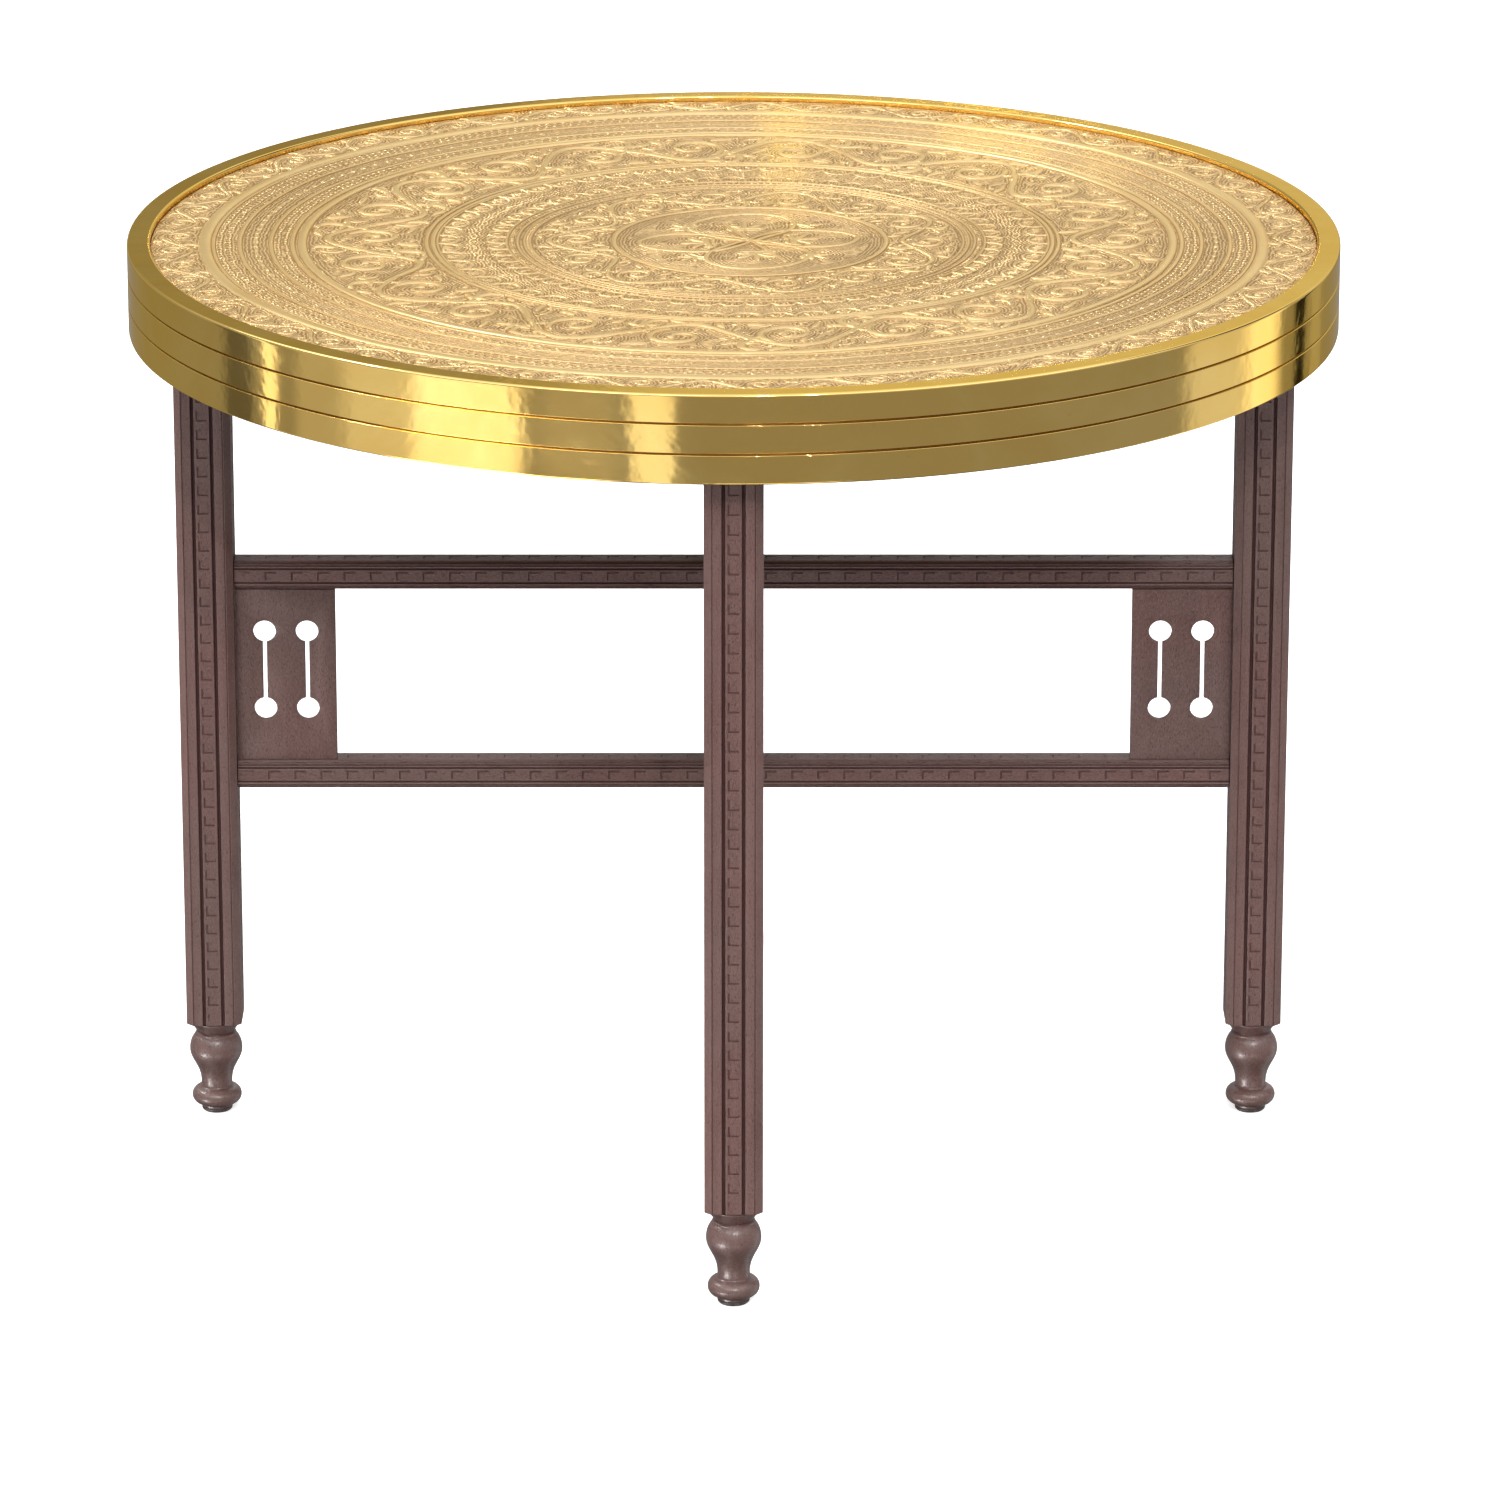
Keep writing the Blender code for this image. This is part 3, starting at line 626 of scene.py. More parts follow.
def closed_loop(points, steps=14):
    """A smooth closed curve through the points."""
    points = np.asarray(points, float)
    out = []
    count = len(points)
    for k in range(count):
        a, b, c, d = (points[(k + j) % count] for j in (-1, 0, 1, 2))
        for t in np.arange(steps) / steps:
            out.append(0.5 * (2 * b + (c - a) * t + (2 * a - 5 * b + 4 * c - d) * t * t
                              + (3 * b - a - 3 * c + d) * t ** 3))
    out.append(out[0])
    return spaced(out)


def rosette(strokes):
    """Middle of the tray: four interlaced loops, a sprig in each, and a bar across them."""
    big = [(0, 0), (11, 7), (23, 19), (27, 36), (19, 50), (4, 55), (-13, 50), (-24, 38),
           (-25, 24), (-15, 9)]
    small = [(0, 0), (9, 12), (22, 19), (38, 17), (51, 11), (56, 0), (49, -11), (36, -16),
             (21, -14), (9, -8)]
    for loop, turn, half_width, size in ((big, 8, 0.95, 0.99), (big, 188, 0.95, 0.97),
                                         (small, 6, 0.85, 0.96), (small, 184, 0.85, 0.98)):
        strokes.add(turned_by(closed_loop(np.array(loop) * size), turn), half_width, 0.62)
    strokes.add(spaced([(-13, 34), (-7, 17), (0, 0), (9, -20), (17, -40)]), 0.85, 0.66)
    for turn, reach in ((6, 27), (95, 30), (188, 27), (276, 30)):
        sprig(strokes, turn, reach)
    for turn in (50, 140, 228, 318):
        sprig(strokes, turn, 45, 0.72)


def turned_by(points, degrees):
    angle = math.radians(degrees)
    matrix = np.array([[math.cos(angle), -math.sin(angle)], [math.sin(angle), math.cos(angle)]])
    return np.asarray(points) @ matrix.T


def sprig(strokes, degrees, reach, size=1.0):
    """A small flower spray centred at that distance out from the middle."""
    for lean, length in ((-75, 9), (-38, 12), (0, 13), (38, 12), (75, 9)):
        petal = bent_line((reach - 6 * size, 0.0), math.radians(lean), size * length,
                          0.006 * lean, 0.014 * lean)
        placed = turned_by(spaced(petal), degrees)
        strokes.add(placed, swelling(len(placed), 1.25 * size, 0.3, 0.7), 0.5)
    for side in (-1, 1):
        tendril = bent_line((reach - 8 * size, 0.0), math.radians(side * 118), size * 14,
                            -0.8 * side, -4.2 * side)
        placed = turned_by(spaced(tendril), degrees)
        strokes.add(placed, swelling(len(placed), 0.85 * size, 0.4, 0.3), 0.45)


def all_strokes():
    strokes = Strokes()
    scroll_band(strokes, 275.8, 10.6, 62, 0.80, 0.60, rich=False)
    scroll_band(strokes, 184.6, 25.5, 22, 1.38, 0.85)
    scroll_band(strokes, 87.0, 17.0, 14, 0.92, 0.62)
    arches(strokes, 150.4, -9.6, 56, 0.62, 0.42, True)
    arches(strokes, 119.0, 8.6, 62, 0.58, 0.40, False)
    rosette(strokes)
    return strokes.all()


def smooth_step(value, start, end):
    t = np.clip((value - start) / (end - start), 0.0, 1.0)
    return t * t * (3 - 2 * t)


def ridge(share):
    """Cross-section of a raised stroke: 1 on its crest, 0 from a share of 1.25 outwards."""
    return np.sqrt(np.clip(1 - (share / 1.25) ** 2.6, 0.0, 1.0))


def splash_strokes(radii, count, rows, reach=8.0):
    """Height of the strokes and distance to their edges on a polar grid."""
    height = np.zeros((len(radii), count))
    distance = np.full((len(radii), count), reach)
    angle = np.arange(count) * TAU / count
    along = np.hypot(rows[:, 0], rows[:, 1])
    turns = np.arctan2(rows[:, 1], rows[:, 0])
    near = (along > radii[0] - reach) & (along < radii[-1] + reach)
    for (x, y, half_width, crest), r, turn in zip(rows[near], along[near], turns[near]):
        span = half_width + reach
        low, high = np.searchsorted(radii, (r - span, r + span))
        if low == high:
            continue
        middle = turn / TAU * count
        half = span / max(r, 1.5 * span) / TAU * count * 1.15
        columns = np.arange(int(middle - half), int(middle + half) + 2)[:count] % count
        ring = radii[low:high, None]
        gap = np.hypot(ring * np.cos(angle[columns]) - x, ring * np.sin(angle[columns]) - y)
        window = np.ix_(np.arange(low, high), columns)
        height[window] = np.maximum(height[window], crest * ridge(gap / half_width))
        distance[window] = np.minimum(distance[window], gap - half_width)
    return height, np.clip(distance, 0.0, reach)


# Rows of small marks: radius, half length, marks round it, height, shift in turns, sharpness
MARKS = [
    (254.6, 1.9, 352, 0.40, 0.0, 1.0), (250.6, 2.0, 352, 0.42, 0.5, 1.0),
    (246.9, 1.3, 352, 0.34, 0.0, 1.0), (242.4, 1.1, 332, 0.26, 0.0, 2.0),
    (237.6, 2.8, 166, 0.36, 0.0, 3.0), (233.2, 1.1, 332, 0.26, 0.5, 2.0),
    (227.2, 1.9, 316, 0.40, 0.0, 1.0), (223.2, 1.8, 316, 0.40, 0.5, 1.0),
    (134.5, 5.6, 300, 0.30, 0.0, 1.0), (115.8, 1.5, 228, 0.46, 0.0, 1.0),
    (108.5, 0.9, 228, 0.30, 0.5, 1.0),
]


def small_marks(radius, angle):
    """Rows of ticks, lenses, beads and flutes that fill the narrow bands."""
    height = np.zeros(np.broadcast(radius, angle).shape)
    for middle, half_length, count, crest, shift, sharp in MARKS:
        across = np.clip(np.cos(angle * count + shift * TAU), 0.0, 1.0) ** sharp
        along = np.clip(1 - ((radius - middle) / half_length) ** 2, 0.0, 1.0)
        height = np.maximum(height, crest * across * along)
    return height


def drift(radius):
    """How far the pattern's centre lies off the tray's, as a share of the drift in the middle."""
    return 1 - np.clip(radius, DRIFT_HOLDS, DRIFT_ENDS) / DRIFT_ENDS


def gentle_waves(x, y, waves):
    """The slight unevenness of a hand-struck sheet, in millimetres."""
    height = 0.0
    for length, turn, phase in waves:
        height = height + 0.0009 * length * np.sin(
            TAU * (x * math.cos(turn) + y * math.sin(turn)) / length + phase)
    return height


def ring_levels(inner, outer, step):
    """Radii from inner to outer, close together on the flanks of the raised rings."""
    levels = [inner, outer]
    levels += list(np.linspace(inner, outer, int((outer - inner) / step) + 1))
    for radius, half_width, _ in RINGS:
        flanks = [radius + side * share * half_width
                  for side in (-1, 1) for share in (0.0, 0.5, 0.85, 1.1, 1.25, 1.5)]
        levels += [level for level in flanks if inner < level < outer]
    levels = np.unique(np.round(levels, 3))
    keep = [levels[0]]
    for level in levels[1:]:
        if level - keep[-1] > 0.18 or level == levels[-1]:
            keep.append(level)
    return np.array(keep)


def relief_piece(name, inner, outer, count, step, rows, waves, material):
    """One closed annular slab of the embossed sheet, between two radii of the pattern."""
    radii = ring_levels(max(inner, CENTRE_HOLE), outer, step)
    angle = np.arange(count) * TAU / count
    height, distance = splash_strokes(radii, count, rows)
    ring = radii[:, None]
    for radius, half_width, crest in RINGS:
        gap = np.abs(ring - radius)
        height = np.maximum(height, crest * ridge(gap / half_width))
        distance = np.minimum(distance, np.clip(gap - half_width, 0.0, None))
    marks = small_marks(ring, angle[None, :])
    height = np.maximum(height, marks)
    height -= 0.20 * np.exp(-((distance - 0.35) / 0.40) ** 2) * (height < 0.05)
    share = drift(ring)
    x = PATTERN_DRIFT[0] * share + ring * np.cos(angle)
    y = PATTERN_DRIFT[1] * share + ring * np.sin(angle)
    edge = smooth_step(np.hypot(x, y), FIELD_RADIUS, FIELD_RADIUS - 6.0)
    z = height * smooth_step(np.hypot(x, y), FIELD_RADIUS, FIELD_RADIUS - 1.0)
    z = z + edge * gentle_waves(x, y, waves)
    layers = [(x, y, z)]
    if outer >= FIELD_RADIUS:
        for radius in (FIELD_RADIUS + 0.1, FLANGE_RADIUS):
            layers.append((radius * np.cos(angle)[None], radius * np.sin(angle)[None],
                           np.full((1, count), -FLANGE_DROP)))
    for source in (-1, 0):
        back_x, back_y, _ = layers[-1] if source else layers[0]
        layers.append((back_x[source][None], back_y[source][None],
                       np.full((1, count), -SLAB_DEPTH)))
    x, y, z = (np.concatenate([layer[axis] for layer in layers]) for axis in range(3))
    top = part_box("tray_embossed_sheet")[1].z
    verts = np.stack([x * MM, y * MM, top + z * MM], -1).reshape(-1, 3)
    mesh = mesh_from_arrays(name, verts, ring_quads(len(x), count, closed_rows=True))
    extra = len(x) - len(radii)
    pad = np.zeros((extra, count))
    point_attribute(mesh, "relief", np.concatenate([np.clip(height, 0, None), pad]))
    point_attribute(mesh, "outline", np.concatenate([distance, pad + 8.0]))
    if inner <= 0:
        close_centre(mesh)
    return new_object(name, mesh, material)


def close_centre(mesh):
    """Fill the small hole that a polar grid leaves in the middle, top and bottom."""
    share = drift(0.0)
    centre = (PATTERN_DRIFT[0] * share * MM, PATTERN_DRIFT[1] * share * MM)
    shape = bmesh.new()
    shape.from_mesh(mesh)
    inner_wall = [face for face in shape.faces
                  if max(math.dist(v.co.xy, centre) for v in face.verts)
                  < 1.03 * CENTRE_HOLE * MM]
    bmesh.ops.delete(shape, geom=inner_wall, context="FACES_ONLY")
    loose = [edge for edge in shape.edges if edge.is_boundary]
    bmesh.ops.holes_fill(shape, edges=loose, sides=0)
    for face in shape.faces:
        face.smooth = True
    shape.to_mesh(mesh)
    shape.free()


# Pieces of the sheet: name, inner and outer radius, points round it, step between rings
SHEET_PIECES = [
    ("tray_sheet_rosette", 0.0, 68.6, 480, 0.95),
    ("tray_sheet_inner_scrolls", 68.6, 106.0, 840, 0.95),
    ("tray_sheet_beaded_rings", 106.0, 128.3, 1320, 0.90),
    ("tray_sheet_fluted_band", 128.3, 157.8, 1200, 0.90),
    ("tray_sheet_great_scrolls", 157.8, 212.9, 1500, 0.98),
    ("tray_sheet_lens_band", 212.9, 246.1, 1560, 1.02),
    ("tray_sheet_tick_band", 246.1, 264.2, 2080, 0.95),
    ("tray_sheet_border_scrolls", 264.2, FIELD_RADIUS, 1800, 0.90),
]


def build_sheet():
    material = embossed_brass()
    rows = all_strokes()
    waves = [(length, *chance.uniform(0.0, TAU, 2)) for length in WAVE_LENGTHS]
    for number, (name, inner, outer, count, step) in enumerate(SHEET_PIECES):
        piece = relief_piece(name, inner, outer, count, step, rows, waves, material)
        if number == 0:
            stand_for(piece, "tray_embossed_sheet", "tray")
        else:
            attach(piece, "tray")


# ---- rim

RIM_BANDS = 3
RIM_GROOVE_WIDTH = 1.25
RIM_GROOVE_DEPTH = 0.75
LEDGE_WIDTH = 11.5
LEDGE_FALL = 0.2                    # the ledge's outer edge lies this much lower than its lip
RIM_EDGE_RADIUS = 1.35
WALL = 1.5
FLANGE_WIDTH = 6.0                  # turned in at the rim's foot
FLANGE_THICKNESS = 1.2
CLEARANCE = 0.3                     # between pieces that touch, as in the frame


def build_rim():
    """Rim band: three flat bands parted by grooves, flat ledge, lip and inturned flange."""
    low, high = (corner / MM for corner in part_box("tray_rim_band"))
    radius, top, bottom = high.x, high.z, low.z
    lip_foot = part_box("tray_embossed_sheet")[1].z / MM - CLEARANCE
    levels = [top - (top - bottom) * band / RIM_BANDS for band in range(1, RIM_BANDS)]
    lip = radius - LEDGE_WIDTH
    profile = [(lip + WALL, top - WALL), (lip + WALL, lip_foot), (lip, lip_foot), (lip, top)]
    brim = top - LEDGE_FALL
    profile = rounded(profile + [(radius, brim), (radius, brim - 4.0)], RIM_EDGE_RADIUS, 5)
    half, floor = RIM_GROOVE_WIDTH / 2, radius - RIM_GROOVE_DEPTH
    for level in levels:
        profile += rounded([(radius, level + 3.0), (radius, level + half), (floor, level + 0.15),
                            (floor, level - 0.15), (radius, level - half),
                            (radius, level - 3.0)], 0.16, 2)
    flange = bottom + FLANGE_THICKNESS
    profile += rounded([(radius, bottom + 4.0), (radius, bottom), (radius - FLANGE_WIDTH, bottom),
                        (radius - FLANGE_WIDTH, flange), (radius - WALL, flange)], 0.6, 3)
    profile.append((radius - WALL, top - WALL))
    rim = lathe("tray_rim_band_polished", profile, 360, rim_brass(), closed=True)
    co, out = places_of(rim.data)
    # Painted shade: how far down each point lies in a groove, which the material paints dark.
    sunk = np.zeros(len(co))
    for level in levels:
        sunk = np.maximum(sunk, np.clip((radius - 0.1 - out) / (RIM_GROOVE_DEPTH - 0.15), 0, 1)
                          * (np.abs(co[:, 2] - level) < RIM_GROOVE_WIDTH))
    edge = (np.abs(co[:, 2] - top) < 0.8) & (np.abs(radius - out) < 0.8)
    point_attribute(rim.data, "groove_shade", sunk)
    point_attribute(rim.data, "wear", edge.astype(float))
    stand_for(rim, "tray_rim_band", "tray")


# ---- carved bars

HOOK_LINE = 0.27                    # half width of an engraved line
HOOK_LIP = 0.22                     # width of its sloping side
HOOK_DEPTH = 0.42
HOOK_START = 0.2                    # share of the pitch below a hook's cross line


def groove_points(centre, width, depth):
    """(across, inset, wear, groove shade) rows of one groove with slightly eased lips; the last
    value paints shade into its bottom.
    """
    half = width / 2
    return [(centre - half - 0.18, 0.0, 0.6, 0.0), (centre - half + 0.05, 0.16, 1.0, 0.15),
            (centre - 0.22 * width, 0.93 * depth, 0.0, 1.0), (centre, depth, 0.0, 1.0),
            (centre + 0.22 * width, 0.93 * depth, 0.0, 1.0),
            (centre + half - 0.05, 0.16, 1.0, 0.15), (centre + half + 0.18, 0.0, 0.6, 0.0)]


def strip_columns(hook):
    """Columns of the carved strip between two grooves, placed on the edges of its hooks."""
    line = HOOK_LINE
    return [(across, 0.0, 0.0, 0.0) for across in
            (-hook - line - HOOK_LIP, -hook - line, -hook + line, -hook + line + HOOK_LIP,
             0.25 * hook, hook, hook + 0.25)]


def hook_depth(across, along, pitch, hook, arm):
    """Depth of the engraved hooks: a short line across the strip and an arm along its left."""
    local = np.mod(along, pitch) - HOOK_START * pitch
    lip = HOOK_LINE + HOOK_LIP
    side = smooth_step(np.abs(across + hook), lip, HOOK_LINE)
    length = smooth_step(local, arm + HOOK_LIP, arm) * smooth_step(local, -lip, -HOOK_LINE)
    bar = smooth_step(np.abs(local), lip, HOOK_LINE)
    width = (smooth_step(across, -hook - lip, -hook - HOOK_LINE)
             * smooth_step(across, hook + 0.25, hook))
    return HOOK_DEPTH * np.maximum(side * length, bar * width)


def bar_levels(length, pitch, arm, ease):
    """Heights of the bar's rings: the hooks' edges, and eased ends."""
    lip = HOOK_LINE + HOOK_LIP
    marks = [-lip, -HOOK_LINE, HOOK_LINE, lip, arm, arm + HOOK_LIP, (arm + pitch) / 2]
    levels = [(k + HOOK_START) * pitch + mark
              for k in range(-1, int(length / pitch) + 2) for mark in marks]
    inside = [level for level in levels if 2.5 * ease < level < length - 2.5 * ease]
    return np.array([0.0, 0.35 * ease, ease, 1.3 * ease] + sorted(inside)
                    + [length - 1.3 * ease, length - ease, length - 0.35 * ease, length])


def carved_bar(name, sides, length, pitch, arm, ease, clear_ends, material):
    """A closed bar along Z from 0 to length, with four sides given as rows of section points.

    Each side is (half thickness, rows, hook); a row is (across, inset, wear, groove shade), the
    last being how much shade is painted into its colour, and hook is the hooks' half width, or None
    for a side without them.
    """
    columns = []
    for number, (out, rows, hook) in enumerate(sides):
        turn = number * math.pi / 2
        normal = np.array([math.cos(turn), math.sin(turn)])
        along = np.array([-math.sin(turn), math.cos(turn)])
        for across, inset, wear, groove_shade in rows:
            carve = hook if hook and abs(across) < hook + 1.0 and inset == 0 else None
            columns.append((normal * (out - inset) + along * across, normal, across, wear,
                            groove_shade, carve))
    place = np.array([c[0] for c in columns])
    inward = -np.array([c[1] for c in columns])
    levels = bar_levels(length, pitch, arm, ease)
    depth = np.zeros((len(levels), len(columns)))
    for index, (_, _, across, _, _, carve) in enumerate(columns):
        if carve:
            cut = hook_depth(across, levels, pitch, carve, arm)
            depth[:, index] = cut * (levels > clear_ends) * (levels < length - clear_ends)
    shrink = np.interp(levels, [0.0, 0.35 * ease, ease, length - ease, length - 0.35 * ease,
                                length], [ease, 0.35 * ease, 0.0, 0.0, 0.35 * ease, ease])
    toward = -place / np.linalg.norm(place, axis=1, keepdims=True)
    flat = (place[None] + inward[None] * depth[..., None]
            + toward[None] * shrink[:, None, None])
    verts = np.concatenate([flat, np.repeat(levels[:, None, None], len(columns), 1)], -1) * MM
    count = len(columns)
    quads = ring_quads(len(levels), count)
    mesh = mesh_from_arrays(name, verts.reshape(-1, 3), quads)
    wear = np.repeat(np.array([[c[3] for c in columns]]), len(levels), 0)
    wear = np.maximum(wear, (shrink > 0.1 * ease)[:, None] * 0.9)
    # Painted shade: the engraved hooks darken with their depth, as the grooves' bottoms do.
    groove_shade = np.maximum(np.array([[c[4] for c in columns]]), depth / HOOK_DEPTH * 0.75)
    point_attribute(mesh, "wear", wear)
    point_attribute(mesh, "groove_shade", groove_shade)
    cap_ends(mesh, count, len(levels))
    mesh.shade_smooth()
    mesh.set_sharp_from_angle(angle=math.radians(32))
    mesh.materials.append(material)
    return mesh


def cap_ends(mesh, count, rows):
    """Close the first and last ring of points with one face each."""
    shape = bmesh.new()
    shape.from_mesh(mesh)
    shape.verts.ensure_lookup_table()
    shape.faces.new([shape.verts[i] for i in reversed(range(count))])
    shape.faces.new([shape.verts[(rows - 1) * count + i] for i in range(count)])
    bmesh.ops.recalc_face_normals(shape, faces=shape.faces)
    bmesh.ops.triangulate(shape, faces=[f for f in shape.faces if len(f.verts) > 4])
    shape.to_mesh(mesh)
    shape.free()


# Posts: corner chamfer; grooves' distance from the face's middle, width and depth; the hooks'
# half width, pitch and arm; easing of the ends, and the plain length at each end
POST_CHAMFER = 3.3
POST_GROOVE = (4.75, 1.9, 2.0)
POST_HOOK, POST_PITCH, POST_ARM = 2.35, 9.65, 4.6
POST_EASE, POST_PLAIN = 0.6, 6.0
# The same for the rails
RAIL_CHAMFER = 2.4
RAIL_GROOVE = (3.6, 1.1, 1.0)
RAIL_HOOK, RAIL_PITCH, RAIL_ARM = 1.9, 13.2, 5.2
RAIL_EASE, RAIL_PLAIN = 0.15, 4.0


def grooved_strip(groove, hook):
    """Rows of a groove, the carved strip and the other groove."""
    centre, width, depth = groove
    return (groove_points(-centre, width, depth) + strip_columns(hook)
            + groove_points(centre, width, depth))


def post_side(half):
    """One face of a post: eased corners, a thin quirk by each, two grooves, a carved strip."""
    edge = half - POST_CHAMFER
    # The quirk by each corner has its bottom painted dark as shade.
    left = [(-edge, 0.0, 0.8, 0.0), (-edge + 0.35, 0.0, 0.3, 0.1), (-edge + 0.55, 0.30, 0.0, 0.9),
            (-edge + 0.85, 0.0, 0.3, 0.1)]
    right = [(-across, inset, wear, groove_shade) for across, inset, wear, groove_shade in reversed(left)]
    return half, left + grooved_strip(POST_GROOVE, POST_HOOK) + right, POST_HOOK


def build_posts(material):
    """Four posts from one mesh, each turned so that its rails' side looks to the middle."""
    low, high = (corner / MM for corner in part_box("right_post"))
    side = post_side((high.y - low.y) / 2)
    mesh = carved_bar("post_carved", [side] * 4, high.z - low.z, POST_PITCH, POST_ARM, POST_EASE,
                      POST_PLAIN, material)
    for turn, (leg, body) in enumerate((("right", "side_frame"), ("back", "front_frame"),
                                        ("left", "side_frame"), ("front", "front_frame"))):
        box_low, box_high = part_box(leg + "_post")
        centre = (box_low + box_high) / 2
        matrix = (Matrix.Translation((centre.x, centre.y, box_low.z))
                  @ Matrix.Rotation(turn * math.pi / 2, 4, "Z"))
        place_copy(leg + "_post_carved", mesh, matrix, leg + "_post", body)


def rail_sides(half_depth, half_height):
    """Sides of a rail: grooved front and back, hooked top and bottom, hollow corners."""
    edge = half_height - RAIL_CHAMFER

    def hollow(sign):
        # The hollows' bottoms are painted dark as shade.
        rows = [(edge - 0.05, 0.0, 0.9, 0.0), (edge + 0.05, 0.85, 0.0, 1.0),
                (edge + 0.42, 0.95, 0.0, 1.0), (edge + 0.52, 0.55, 0.7, 0.1),
                (edge + 0.98, 0.65, 0.7, 0.1), (edge + 1.08, 1.65, 0.0, 1.0),
                (edge + 1.55, 1.85, 0.0, 1.0), (edge + 1.75, 2.05, 0.4, 0.2)]
        return [(sign * across, inset, wear, groove_shade) for across, inset, wear, groove_shade in rows]

    front = hollow(-1)[::-1] + grooved_strip(RAIL_GROOVE, RAIL_HOOK) + hollow(1)
    top_edge = half_depth - RAIL_CHAMFER
    top = ([(-top_edge - 0.02, 0.22, 0.9, 0.1), (-top_edge + 0.3, 0.0, 0.6, 0.0)]
           + strip_columns(RAIL_HOOK)
           + [(top_edge - 0.3, 0.0, 0.6, 0.0), (top_edge + 0.02, 0.22, 0.9, 0.1)])
    return [(half_depth, front, RAIL_HOOK), (half_height, top, RAIL_HOOK)] * 2


def build_rails(material):
    """Four rails from one mesh; each lies along its frame, its first side to the front."""
    low, high = (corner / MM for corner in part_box("side_frame_upper_rail"))
    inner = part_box("right_post")[0].x / MM - CLEARANCE
    sides = rail_sides((high.y - low.y) / 2, (high.z - low.z) / 2)
    mesh = carved_bar("rail_carved", sides, 2 * inner, RAIL_PITCH, RAIL_ARM, RAIL_EASE,
                      RAIL_PLAIN, material)
    lie = Matrix(((0, 0, 1, 0), (-1, 0, 0, 0), (0, -1, 0, 0), (0, 0, 0, 1)))
    for frame_name, turn in (("side_frame", 0.0), ("front_frame", -math.pi / 2)):
        for level in ("upper", "lower"):
            node = f"{frame_name}_{level}_rail"
            box_low, box_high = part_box(node)
            start = Matrix.Translation((-inner * MM, 0.0, (box_low.z + box_high.z) / 2))
            matrix = Matrix.Rotation(turn, 4, "Z") @ start @ lie
            place_copy(node + "_carved", mesh, matrix, node, frame_name)


# ---- panels

HOLE_RADIUS = 5.7
HOLE_SPACING = 40.4                 # between the two holes of one cut-out
SLOT_WIDTH = 2.0
CUT_SPACING = 21.3                  # between the two cut-outs
CUT_CENTRE = 25.1                   # from the panel's free edge to the middle of its cut-outs
CUT_RISE = 2.4                      # the cut-outs' middle, above the panel's middle
PANEL_EASE = 0.35


def dumbbell(centre_x, centre_y, steps=30):
    """Outline of an upright cut-out: two round holes joined by a narrow slot."""
    lean = math.asin(SLOT_WIDTH / 2 / HOLE_RADIUS)
    points = []
    for side in (1, -1):
        middle = centre_y + side * HOLE_SPACING / 2
        start = -side * math.pi / 2 + lean
        for k in range(steps + 1):
            angle = start + (TAU - 2 * lean) * k / steps
            points.append((centre_x + HOLE_RADIUS * math.cos(angle),
                           middle + HOLE_RADIUS * math.sin(angle)))
    return points


def build_panels(material):
    """Four pierced panels from one mesh, with eased arrises round the board and its holes."""
    low, high = (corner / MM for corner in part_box("right_panel"))
    width, height, thickness = high.x - low.x, high.z - low.z, high.y - low.y
    curve = bpy.data.curves.new("panel_outline", "CURVE")
    curve.dimensions = "2D"
    curve.fill_mode = "BOTH"
    curve.extrude = thickness / 2 * MM
    outlines = [[(0, -height / 2), (width, -height / 2), (width, height / 2), (0, height / 2)]]
    outlines += [dumbbell(CUT_CENTRE + side * CUT_SPACING / 2, CUT_RISE) for side in (-1, 1)]
    for outline in outlines:
        spline = curve.splines.new("POLY")
        spline.points.add(len(outline) - 1)
        spline.points.foreach_set("co", [value for x, y in outline
                                         for value in (x * MM, y * MM, 0.0, 1.0)])
        spline.use_cyclic_u = True
    flat = bpy.data.objects.new("panel_outline", curve)
    bpy.context.scene.collection.objects.link(flat)
    bpy.context.view_layer.update()
    graph = bpy.context.evaluated_depsgraph_get()
    mesh = bpy.data.meshes.new_from_object(flat.evaluated_get(graph))
    mesh.name = "panel_pierced"
    bpy.data.objects.remove(flat)
    shape = bmesh.new()
    shape.from_mesh(mesh)
    bmesh.ops.remove_doubles(shape, verts=shape.verts, dist=1e-6)
    bmesh.ops.dissolve_limit(shape, angle_limit=math.radians(1), verts=shape.verts,
                             edges=shape.edges)
    arrises = [edge for edge in shape.edges if len(edge.link_faces) == 2
               and abs(abs(edge.link_faces[0].normal.z) - abs(edge.link_faces[1].normal.z)) > 0.9]
    bmesh.ops.bevel(shape, geom=arrises, offset=PANEL_EASE * MM, segments=2, profile=0.5,
                    affect="EDGES")
    bmesh.ops.triangulate(shape, faces=[f for f in shape.faces if len(f.verts) > 4])
    bmesh.ops.recalc_face_normals(shape, faces=shape.faces)
    # The board's length becomes its own Z, which the grain follows.
    bmesh.ops.transform(shape, verts=shape.verts, matrix=Matrix.Rotation(math.pi / 2, 4, "X"))
    shape.to_mesh(mesh)
    shape.free()
    co = places_of(mesh)[0]
    eased = np.abs(np.abs(co[:, 1]) - thickness / 2) > 0.02
    point_attribute(mesh, "wear", eased * 0.8)
    point_attribute(mesh, "groove_shade", np.zeros(len(co)))
    mesh.shade_smooth()
    mesh.set_sharp_from_angle(angle=math.radians(50))
    mesh.materials.clear()
    mesh.materials.append(material)
    place_panels(mesh)


